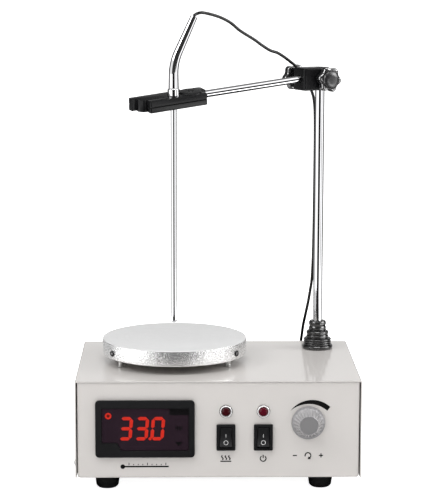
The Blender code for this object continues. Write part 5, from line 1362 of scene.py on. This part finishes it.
class STIRRER_OT_clip(StirrerOperator, bpy.types.Operator):
    """Model the arm and the probe clip"""

    bl_idname = "stirrer.clip"
    bl_label = "Arm and clip"

    def execute(self, context):
        end = CLIP_ALONG - CLIP_TAIL + 0.0105
        arm = rod("arm_rod", ARM_RADIUS, -ARM_SOCKET, end, 0.0004, facing_place(ARM_START, ARM_DIRECTION))
        dress(arm, "arm", "chrome", "arm")
        place = axes_place(PIN_AT, ARM_DIRECTION, PIN_UP)
        seat = CLIP_SLOT - FIT
        fixed = [
            (-CLIP_TAIL, -CLIP_OUTER + 0.001, 0.0012), (-CLIP_TAIL + 0.004, -CLIP_OUTER, 0.002),
            (0.0353, -CLIP_OUTER, 0.0012), (0.0353, -CLIP_SLOT, 0.0006), (0.0310, -CLIP_SLOT, 0.0002),
            (0.0313, 0.0, 0.002), (0.0279, seat, 0.003), (-0.0130, seat, 0.002),
            (-CLIP_TAIL, seat - 0.0030, 0.0012),
        ]
        back = self.jaw("clip_fixed_bar", fixed, place, -CLIP_OUTER)
        self.open_fixed(back, place)
        dress(back, "arm", "black_plastic", "clip_fixed_jaw")
        moving = [
            (-0.0266, CLIP_SLOT, 0.0008), (0.0254, CLIP_SLOT, 0.0008), (0.0254, CLIP_OUTER, 0.0012),
            (-0.0266, CLIP_OUTER, 0.0012),
        ]
        front = self.jaw("clip_moving_bar", moving, place, CLIP_OUTER)
        dress(front, "jaw", "black_plastic", "clip_moving_jaw")
        self.ear(place)
        self.spring(place)
        return {"FINISHED"}

    def jaw(self, name, outline, place, side):
        """One jaw: a bar grooved outside into two ribs, with seats for the probe's stem and ferrule."""
        shifted = [(x + CLIP_PIN_ALONG, y - CLIP_PIN_SIDE, edge) for x, y, edge in outline]
        piece = slab_piece(name, closed_round(shifted), -CLIP_RISE, CLIP_RISE, 0.0006, 3, place, "clip")
        mill(piece, (0.2, 0.0024, 0.0014), Matrix.Translation((0, side - CLIP_PIN_SIDE, 0)))
        upright = place.inverted() @ Matrix.Translation((PROBE_AT.x, PROBE_AT.y, 0))
        drill(piece, STEM_RADIUS + FIT, PIN_AT.z - 0.012, PIN_AT.z + 0.012, upright, 32)
        floor = low("probe_ferrule").z - FIT
        drill(piece, FERRULE_RADIUS + FIT, floor, floor + 0.012, upright)
        return piece

    def open_fixed(self, piece, place):
        """The fixed jaw's mouth for the probe, its sockets and the recess for the other jaw's ear."""
        local = place.inverted()
        mouth = axes_place(Vector((PROBE_AT.x, PROBE_AT.y, PIN_AT.z)), ARM_FRONT, UP)
        mill(piece, (0.008, 0.0055, 0.03), local @ mouth @ Matrix.Translation((0.004, 0, 0)))
        start = CLIP_ALONG - CLIP_TAIL
        arm_place = local @ facing_place(ARM_START, ARM_DIRECTION)
        drill(piece, ARM_RADIUS + FIT, start - 0.006, start + 0.0108, arm_place)
        seat = CLIP_RISE - CLIP_EAR_SINK
        drill(piece, CLIP_PIN_RADIUS + FIT, -0.02, 0.02)
        drill(piece, 0.0033, seat - CLIP_SPRING_SINK, 0.02)
        drill(piece, CLIP_EAR_RADIUS + FIT, seat, 0.02)

    def ear(self, place):
        """The moving jaw's round ear and the hinge pin through it."""
        seat = CLIP_RISE - CLIP_EAR_SINK + FIT
        top = seat + 0.0020
        bore = CLIP_PIN_RADIUS + FIT
        profile = [
            (bore, top - 0.0003, 0.0001), (0.0023, top, 0.0002), (CLIP_EAR_RADIUS - 0.0006, top, 0.0006),
            (CLIP_EAR_RADIUS, top - 0.0008, 0.0005), (CLIP_EAR_RADIUS, seat, 0), (bore, seat, 0),
        ]
        dress(turned_piece("clip_ear", profile, place, "clip", 72, ring=True), "jaw", "black_plastic")
        profile = [
            (0, top, 0), (0.0012, top, 0.0003), (CLIP_PIN_RADIUS, top - 0.0004, 0.0002),
            (CLIP_PIN_RADIUS, -CLIP_RISE, 0.0003), (0, -CLIP_RISE, 0),
        ]
        dress(turned_piece("clip_hinge_pin", profile, place, "dark_steel", 32), "arm", "steel", "clip_pin")

    def spring(self, place):
        """The torsion spring round the pin."""
        start = CLIP_RISE - CLIP_EAR_SINK - CLIP_SPRING_SINK + 2 * FIT
        radius = 0.0027
        pitch = 0.0011
        wire = 0.0003
        turns = 3
        per_turn = 32
        points = []
        for i in range(turns * per_turn + 1):
            angle = 2 * math.pi * i / per_turn
            height = start + pitch * i / per_turn
            points.append(Vector((radius * math.cos(angle), radius * math.sin(angle), height)))
        bm = bmesh.new()
        sweep(bm, points, [wire] * len(points), 10)
        dress(add_piece("clip_spring_coil", bm, place, "steel", 50), "arm", "steel", "clip_spring")


def tube_line():
    """The handle's centre line: upright from the ferrule, then leaning towards the boss."""
    start = Vector((PROBE_AT.x, PROBE_AT.y, high("probe_ferrule").z + FIT))
    lean = math.radians(TUBE_LEAN)
    bend = start + UP * TUBE_STRAIGHT
    points = [start, start.lerp(bend, 0.5)]
    for i in range(25):
        angle = lean * i / 24
        over = -ARM_LEVEL * TUBE_BEND_RADIUS * (1 - math.cos(angle))
        points.append(bend + over + UP * TUBE_BEND_RADIUS * math.sin(angle))
    onward = UP * math.cos(lean) - ARM_LEVEL * math.sin(lean)
    last = points[-1]
    points += [last + onward * TUBE_LEAN_LENGTH * i / 6 for i in range(1, 7)]
    return points


def running_lengths(points):
    """The length of a line up to each of its points."""
    lengths = [0.0]
    for first, second in zip(points, points[1:]):
        lengths.append(lengths[-1] + (second - first).length)
    return lengths


class STIRRER_OT_probe(StirrerOperator, bpy.types.Operator):
    """Model the temperature probe"""

    bl_idname = "stirrer.probe"
    bl_label = "Temperature probe"

    def execute(self, context):
        axis = Matrix.Translation((PROBE_AT.x, PROBE_AT.y, 0))
        tip = low("probe_stem").z
        stem_top = high("probe_stem").z
        profile = [
            (0, stem_top, 0), (STEM_RADIUS, stem_top, 0.0002), (STEM_RADIUS, stem_top - 0.002, 0),
            (STEM_RADIUS, tip + 0.006, 0), (STEM_RADIUS, tip + 0.0012, 0.0022), (0.0012, tip, 0.0010),
            (0, tip, 0),
        ]
        stem = turned_piece("probe_stem_rod", profile, axis, "chrome", 48)
        dress(stem, "probe", "chrome", "probe_stem")
        bottom = low("probe_ferrule").z
        top = high("probe_ferrule").z
        bore = STEM_RADIUS + FIT
        profile = [
            (0, top, 0), (0.0046, top, 0), (FERRULE_RADIUS, top - 0.0006, 0.0004),
            (FERRULE_RADIUS, bottom + 0.0006, 0.0004), (0.0045, bottom, 0), (bore, bottom, 0),
            (bore, stem_top + FIT, 0), (0, stem_top + FIT, 0),
        ]
        ferrule = turned_piece("probe_ferrule_ring", profile, axis, "chrome")
        dress(ferrule, "probe", "chrome", "probe_ferrule")
        self.tube()
        return {"FINISHED"}

    def tube(self):
        """The bent, tapering handle with its open end."""
        points = tube_line()
        run = running_lengths(points)
        radii = [TUBE_RADIUS + (TUBE_TOP_RADIUS - TUBE_RADIUS) * along / run[-1] for along in run]
        out = (points[-1] - points[-2]).normalized()
        mouth = points[-1]
        points += [mouth + out * 0.00002, mouth, mouth - out * 0.004]
        radii += [TUBE_TOP_RADIUS - 0.0002, TUBE_TOP_RADIUS - 0.0008, TUBE_TOP_RADIUS - 0.0009]
        bm = bmesh.new()
        sweep(bm, points, radii, 48)
        dress(add_piece("probe_handle", bm, Matrix.Identity(4), "chrome"), "probe", "chrome", "probe_tube")


# The lead's own points from the mast's axis and the bench, in millimetres: from the handle to the boss
UPPER_ROUTE = [
    (-100.6, -52.1, 380.4),
    (-92.1, -46.4, 378.6),
    (-84.2, -40.9, 375.8),
    (-76.3, -35.7, 371.4),
    (-68.2, -30.2, 364.6),
    (-57.3, -22.9, 357.7),
    (-49.1, -17.5, 351.7),
    (-42.2, -12.8, 347.4),
    (-36.7, -8.8, 345.6),
    (-30.2, -3.5, 341.4),
    (-23.6, 2.2, 336.3),
]

# From the boss down behind the mast and back to the plug
LOWER_ROUTE = [
    (-18.3, 5.0, 331.8),
    (-14.0, 7.3, 327.2),
    (-10.4, 9.1, 320.0),
    (-6.9, 10.9, 313.5),
    (-4.6, 11.2, 307.0),
    (-3.6, 9.8, 299.0),
    (-3.3, 8.0, 289.0),
    (-3.2, 7.1, 270.0),
    (-3.3, 7.0, 230.0),
    (-3.5, 7.0, 200.0),
    (-3.8, 7.2, 176.0),
    (-4.1, 9.0, 161.2),
    (-4.4, 12.6, 149.0),
    (-5.3, 19.0, 138.3),
    (-6.4, 28.0, 126.0),
    (-8.0, 37.5, 113.4),
    (-9.3, 48.0, 101.5),
    (-9.9, 58.0, 90.0),
    (-10.7, 65.4, 79.0),
    (-11.4, 68.2, 69.5),
    (-11.6, 65.9, 61.0),
]

# Where the rear stretch of the lead meets the mast, and where the stretch over the arm ends
LEAD_ON_MAST = LOWER_ROUTE[8]
LEAD_BY_PROBE = UPPER_ROUTE[4]


def by_mast(x, y, z):
    """A point given from the mast's axis and the bench, in millimetres."""
    return Vector((MAST.x + x / 1000, MAST.y + y / 1000, z / 1000))


def smooth_route(route, step):
    """Even points on a smooth curve through a route's own points."""
    ends = [route[0] * 2 - route[1], *route, route[-1] * 2 - route[-2]]
    parts = 40
    fine = []
    for before, start, end, after in zip(ends, ends[1:], ends[2:], ends[3:]):
        for i in range(parts):
            t = i / parts
            fine.append(
                0.5 * (
                    2 * start
                    + (end - before) * t
                    + (2 * before - 5 * start + 4 * end - after) * t * t
                    + (3 * start - before - 3 * end + after) * t ** 3
                )
            )
    fine.append(route[-1])
    lengths = running_lengths(fine)
    count = max(2, round(lengths[-1] / step))
    points = []
    place = 0
    for i in range(count + 1):
        wanted = lengths[-1] * i / count
        while place < len(fine) - 2 and lengths[place + 1] < wanted:
            place += 1
        share = (wanted - lengths[place]) / (lengths[place + 1] - lengths[place])
        points.append(fine[place].lerp(fine[place + 1], min(share, 1.0)))
    return points


class STIRRER_OT_lead(StirrerOperator, bpy.types.Operator):
    """Model the probe's lead, its plug and its socket"""

    bl_idname = "stirrer.lead"
    bl_label = "Probe lead"

    def execute(self, context):
        whole = self.route()
        splits = [0]
        for corner in (LEAD_ON_MAST, UPPER_ROUTE[-1], LEAD_BY_PROBE):
            splits.append(self.nearest(whole, by_mast(*corner)))
        splits.append(len(whole) - 1)
        stretches = (
            ("lead_rear", "case", "mast", "probe_lead_lower"),
            ("lead_mast", "mast", "boss", "probe_lead_lower"),
            ("lead_boss", "boss", "arm", "probe_lead_upper"),
            ("lead_probe", "arm", "probe", "probe_lead_upper"),
        )
        diameter = sizes().lead_diameter
        plug = self.plug()
        for (name, start_body, end_body, replaced), first, last in zip(stretches, splits, splits[1:]):
            points = whole[first:last + 1]
            bm = bmesh.new()
            sweep(bm, points, [diameter / 2] * len(points), 20)
            piece = add_piece(name, bm, Matrix.Identity(4), "lead", 50)
            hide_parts(replaced)
            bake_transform(piece)
        return {"FINISHED"}

    def route(self):
        """Even points along the whole lead, from the plug to inside the handle."""
        handle = tube_line()
        out = (handle[-1] - handle[-2]).normalized()
        tail = Vector((middle("probe_plug").x, high("probe_plug").y, middle("probe_plug").z))
        back = Vector((0, 1, 0))
        corners = [handle[-1] - out * 0.002, handle[-1] + out * 0.0015]
        corners += [by_mast(*point) for point in UPPER_ROUTE + LOWER_ROUTE]
        corners += [tail + back * 0.0043, tail - back * 0.001]
        return smooth_route(corners, 0.003)[::-1]

    def nearest(self, points, target):
        """The number of the point that lies nearest to a target."""
        return min(range(len(points)), key=lambda i: (points[i] - target).length)

    def plug(self):
        """The plug on the lead's end and the socket it sits in."""
        at = middle("probe_plug")
        place = rear_place(at.x, at.z)
        seat = 0.0036
        end = high("probe_plug").y - REAR_Y
        profile = [
            (0, end, 0), (0.0019, end, 0.0003), (0.0022, end - 0.0018, 0.0002),
            (0.0018, end - 0.0022, 0.0002), (0.0023, end - 0.0040, 0.0002), (0.0019, end - 0.0044, 0.0002),
            (0.0026, end - 0.0068, 0.0003), (0.0042, seat + 0.0160, 0.0012), (0.0055, seat + 0.0120, 0.0012),
            (0.0055, seat + 0.0050, 0.0003), (0.0051, seat + 0.0046, 0.0002), (0.0051, seat + 0.0030, 0.0002),
            (0.0055, seat + 0.0026, 0.0003), (0.0055, seat, 0.0004), (0.0030, seat, 0),
            (0.0030, seat - 0.008, 0.0003), (0, seat - 0.008, 0),
        ]
        plug = turned_piece("probe_plug_body", profile, place, "satin", 48)
        dress(plug, "case", "black_plastic", "probe_plug")
        profile = [
            (0.0036, 0.0033, 0.0002), (0.0066, 0.0033, 0.0003), (0.0070, 0.0024, 0.0002),
            (0.0085, 0.0022, 0.0004), (0.0085, FIT, 0.0002), (0.0060, FIT, 0), (0.0060, -0.012, 0.0003),
            (0.0036, -0.012, 0.0002),
        ]
        socket = turned_piece("probe_socket_ring", profile, place, "steel", 48, ring=True)
        dress(socket, "case", "steel", "probe_socket")
        return plug


class STIRRER_OT_rear(StirrerOperator, bpy.types.Operator):
    """Finish the mains inlet and model the fuse holder"""

    bl_idname = "stirrer.rear"
    bl_label = "Rear fittings"

    def execute(self, context):
        paint_node("power_inlet", "satin")
        at = middle("fuse_holder")
        top = high("fuse_holder").y - REAR_Y
        cap = 0.00675
        flange = 0.0075
        barrel = 0.0060
        profile = [
            (0, top, 0), (0.0060, top, 0.0008), (cap, top - 0.0014, 0.0004), (cap, 0.0046, 0.0003),
            (flange, 0.0042, 0.0004), (flange, FIT, 0.0002), (barrel, FIT, 0), (barrel, -0.026, 0.0004),
            (0, -0.026, 0),
        ]
        fuse = turned_piece("fuse_holder_cap", profile, rear_place(at.x, at.z), "satin", 48)
        mill(fuse, (0.0090, 0.0016, 0.0032), Matrix.Translation((0, 0, top)))
        dress(fuse, "case", "black_plastic", "fuse_holder")
        return {"FINISHED"}


def turn_fade(tree, bearing, start, end):
    """A rise from 0 to 1 between two bearings in degrees."""
    return remap(tree, bearing, math.radians(start), math.radians(end))


class STIRRER_OT_stage(StirrerOperator, bpy.types.Operator):
    """Set up the floor, the soft light and the camera"""

    bl_idname = "stirrer.stage"
    bl_label = "Stage"

    def execute(self, context):
        scene = context.scene
        scene.view_settings.view_transform = "Standard"
        self.camera(scene)
        self.floor(scene)
        self.world(scene)
        self.lights(scene)
        return {"FINISHED"}

    def camera(self, scene):
        """A long lens in front of the case and a little above it."""
        data = bpy.data.cameras.new("stage_camera")
        data.lens = CAMERA_LENS
        data.sensor_width = CAMERA_SENSOR
        data.clip_start = 0.05
        data.clip_end = 100.0
        camera = bpy.data.objects.new("stage_camera", data)
        scene.collection.objects.link(camera)
        turn = (
            Matrix.Rotation(math.radians(-CAMERA_YAW), 4, "Z")
            @ Matrix.Rotation(math.radians(90 - CAMERA_PITCH), 4, "X")
            @ Matrix.Rotation(math.radians(CAMERA_ROLL), 4, "Z")
        )
        camera.matrix_world = Matrix.Translation(CAMERA_AT) @ turn
        scene.camera = camera

    def floor(self, scene):
        """A plain pale floor, with bright cards on it that only shiny finishes mirror."""
        mesh = bpy.data.meshes.new("stage_floor")
        bm = bmesh.new()
        bmesh.ops.create_grid(bm, x_segments=1, y_segments=1, size=40.0)
        bm.to_mesh(mesh)
        bm.free()
        floor = bpy.data.objects.new("stage_floor", mesh)
        scene.collection.objects.link(floor)
        floor.location.z = -0.0002
        pale, tree, shader = new_finish(
            "stage_floor", Roughness=0.8, Specular_IOR_Level=0.0, Emission_Color=(1, 1, 1),
        )
        ray = tree.nodes.new("ShaderNodeLightPath")
        mirrored = ray.outputs["Is Glossy Ray"]
        white = product(tree, ray.outputs["Is Camera Ray"], 0.92)
        light = product(tree, mirrored, self.floor_cards(tree), 2.1)
        tree.links.new(total(tree, white, light), shader.inputs["Emission Strength"])
        tone = mix_colour(tree, mirrored, (0.85, 0.85, 0.85), (0.02, 0.02, 0.02))
        tree.links.new(tone, shader.inputs["Base Color"])
        mesh.materials.append(pale)

    def floor_cards(self, tree):
        """Brightness of the cards, by the bearing from the front and the distance from the object."""
        place = tree.nodes.new("ShaderNodeTexCoord").outputs["Object"]
        x, y, _ = split_xyz(tree, place)
        measure = tree.nodes.new("ShaderNodeVectorMath")
        measure.operation = "LENGTH"
        tree.links.new(place, measure.inputs[0])
        reach = measure.outputs["Value"]
        bearing = math_node(tree, "ARCTAN2", math_node(tree, "ABSOLUTE", x), product(tree, y, -1.0))
        clear = remap(tree, reach, 0.35, 0.45)
        # Close by, the two cards in front are brighter, with a gap between them that is widest on the left
        close = remap(tree, reach, 0.75, 0.62)
        left = product(tree, remap(tree, x, 0.0, -0.01), math.radians(10))
        wider = product(tree, close, total(tree, left, math.radians(18)))
        inner = math_node(tree, "SUBTRACT", bearing, wider)
        front = product(
            tree, total(tree, product(tree, close, 1.4), 1.0), turn_fade(tree, inner, 22, 30),
            turn_fade(tree, bearing, 98, 88), clear,
        )
        # A dark stripe crosses the right one further out
        stripe = product(
            tree, remap(tree, x, 0.0, 0.01), turn_fade(tree, bearing, 49, 52),
            turn_fade(tree, bearing, 65, 62), remap(tree, reach, 0.85, 1.05),
        )
        front = product(tree, front, math_node(tree, "SUBTRACT", 1.0, stripe))
        # Two dimmer ones lie behind
        near = product(tree, remap(tree, reach, 1.4, 0.8), 0.22)
        behind = product(
            tree, total(tree, near, 0.09), turn_fade(tree, bearing, 98, 102),
            turn_fade(tree, bearing, 158, 150), clear,
        )
        return total(tree, front, behind)

    def world(self, scene):
        """A soft room: a pale ceiling, a low pale wall behind and two cards, white where it is seen."""
        world = bpy.data.worlds.new("stage_world")
        scene.world = world
        world.use_nodes = True
        tree = world.node_tree
        place = tree.nodes.new("ShaderNodeTexCoord")
        x, y, up = split_xyz(tree, place.outputs["Generated"])
        ray = tree.nodes.new("ShaderNodeLightPath")
        mirrored = ray.outputs["Is Glossy Ray"]
        bearing = math_node(tree, "ARCTAN2", product(tree, x, -1.0), product(tree, y, -1.0))
        left_card = self.patch(tree, bearing, (36, 46, 94, 104), up, (-1.1, -1.0, 0.38, 0.44))
        right_card = self.patch(tree, bearing, (-112, -100, -48, -44), up, (0.40, 0.45, 0.86, 0.90))
        wall = product(tree, remap(tree, y, 0.70, 0.82), remap(tree, up, 0.50, 0.38), 0.50)
        shaded = math_node(tree, "SUBTRACT", 1.0, product(tree, mirrored, 0.7))
        ceiling = product(tree, remap(tree, up, 0.62, 0.80), shaded)
        cards = total(tree, product(tree, left_card, 1.3), product(tree, right_card, 1.8))
        level = total(tree, wall, 0.05, ceiling, product(tree, cards, mirrored))
        seen = mix_colour(tree, ray.outputs["Is Camera Ray"], level, (1, 1, 1))
        tree.links.new(seen, tree.nodes["Background"].inputs["Color"])

    def patch(self, tree, bearing, turns, up, rises):
        """A soft patch of the room between bearings in degrees and between heights, with its fades."""
        return product(
            tree, remap(tree, up, rises[0], rises[1]), remap(tree, up, rises[3], rises[2]),
            turn_fade(tree, bearing, turns[0], turns[1]), turn_fade(tree, bearing, turns[3], turns[2]),
        )

    def lights(self, scene):
        """Soft lights by bearing from the front, distance, height, size and power; some aren't mirrored."""
        for name, azimuth, distance, height, size, power, mirrored in (
            ("stage_left", -64, 1.5, 1.3, (1.0, 0.7), 16.0, True),
            ("stage_right", 84, 1.5, 0.9, (1.0, 0.7), 16.0, True),
            ("stage_front", -5, 2.6, 1.3, (2.4, 1.4), 21.0, False),
            ("stage_top", 0, 0.6, 2.2, (1.2, 0.8), 17.0, True),
        ):
            data = bpy.data.lights.new(name, "AREA")
            data.energy = power
            data.shape = "RECTANGLE"
            data.size, data.size_y = size
            light = bpy.data.objects.new(name, data)
            scene.collection.objects.link(light)
            light.visible_camera = False
            light.visible_glossy = mirrored
            turn = math.radians(azimuth)
            light.location = (distance * math.sin(turn), -distance * math.cos(turn), height)
            aim = LIGHTS_AIM - light.location
            light.rotation_euler = aim.to_track_quat("-Z", "Y").to_euler()


PIECES = (
    STIRRER_OT_case, STIRRER_OT_feet, STIRRER_OT_screws, STIRRER_OT_plate, STIRRER_OT_display,
    STIRRER_OT_switches, STIRRER_OT_lamps, STIRRER_OT_knob, STIRRER_OT_print, STIRRER_OT_mast,
    STIRRER_OT_boss, STIRRER_OT_clip, STIRRER_OT_probe, STIRRER_OT_lead, STIRRER_OT_rear,
)


class STIRRER_PT_panel(bpy.types.Panel):
    """Lists the stirrer's pieces"""

    bl_idname = "STIRRER_PT_panel"
    bl_label = "Magnetic stirrer"
    bl_space_type = "VIEW_3D"
    bl_region_type = "UI"
    bl_category = "Stirrer"

    def draw(self, context):
        layout = self.layout
        for group in (context.scene.stirrer_sizes, context.scene.stirrer_colours):
            box = layout.box()
            for name in group.__annotations__:
                box.prop(group, name)
        for operator in (STIRRER_OT_stage, *PIECES):
            layout.operator(operator.bl_idname)


CLASSES = (StirrerSizes, StirrerColours, STIRRER_OT_stage, *PIECES, STIRRER_PT_panel)


def register():
    """Adds the classes and the scene's settings."""
    for cls in CLASSES:
        bpy.utils.register_class(cls)
    bpy.types.Scene.stirrer_sizes = bpy.props.PointerProperty(type=StirrerSizes)
    bpy.types.Scene.stirrer_colours = bpy.props.PointerProperty(type=StirrerColours)


def unregister():
    """Takes the settings and the classes away again."""
    del bpy.types.Scene.stirrer_colours
    del bpy.types.Scene.stirrer_sizes
    for cls in reversed(CLASSES):
        bpy.utils.unregister_class(cls)


def main():
    """Sets up the stage and dresses every piece."""
    register()
    bpy.ops.stirrer.stage()
    bpy.ops.stirrer.case()
    bpy.ops.stirrer.feet()
    bpy.ops.stirrer.screws()
    bpy.ops.stirrer.plate()
    bpy.ops.stirrer.display()
    bpy.ops.stirrer.switches()
    bpy.ops.stirrer.lamps()
    bpy.ops.stirrer.knob()
    bpy.ops.stirrer.print()
    bpy.ops.stirrer.mast()
    bpy.ops.stirrer.boss()
    bpy.ops.stirrer.clip()
    bpy.ops.stirrer.probe()
    bpy.ops.stirrer.lead()
    bpy.ops.stirrer.rear()


if __name__ == "__main__":
    main()
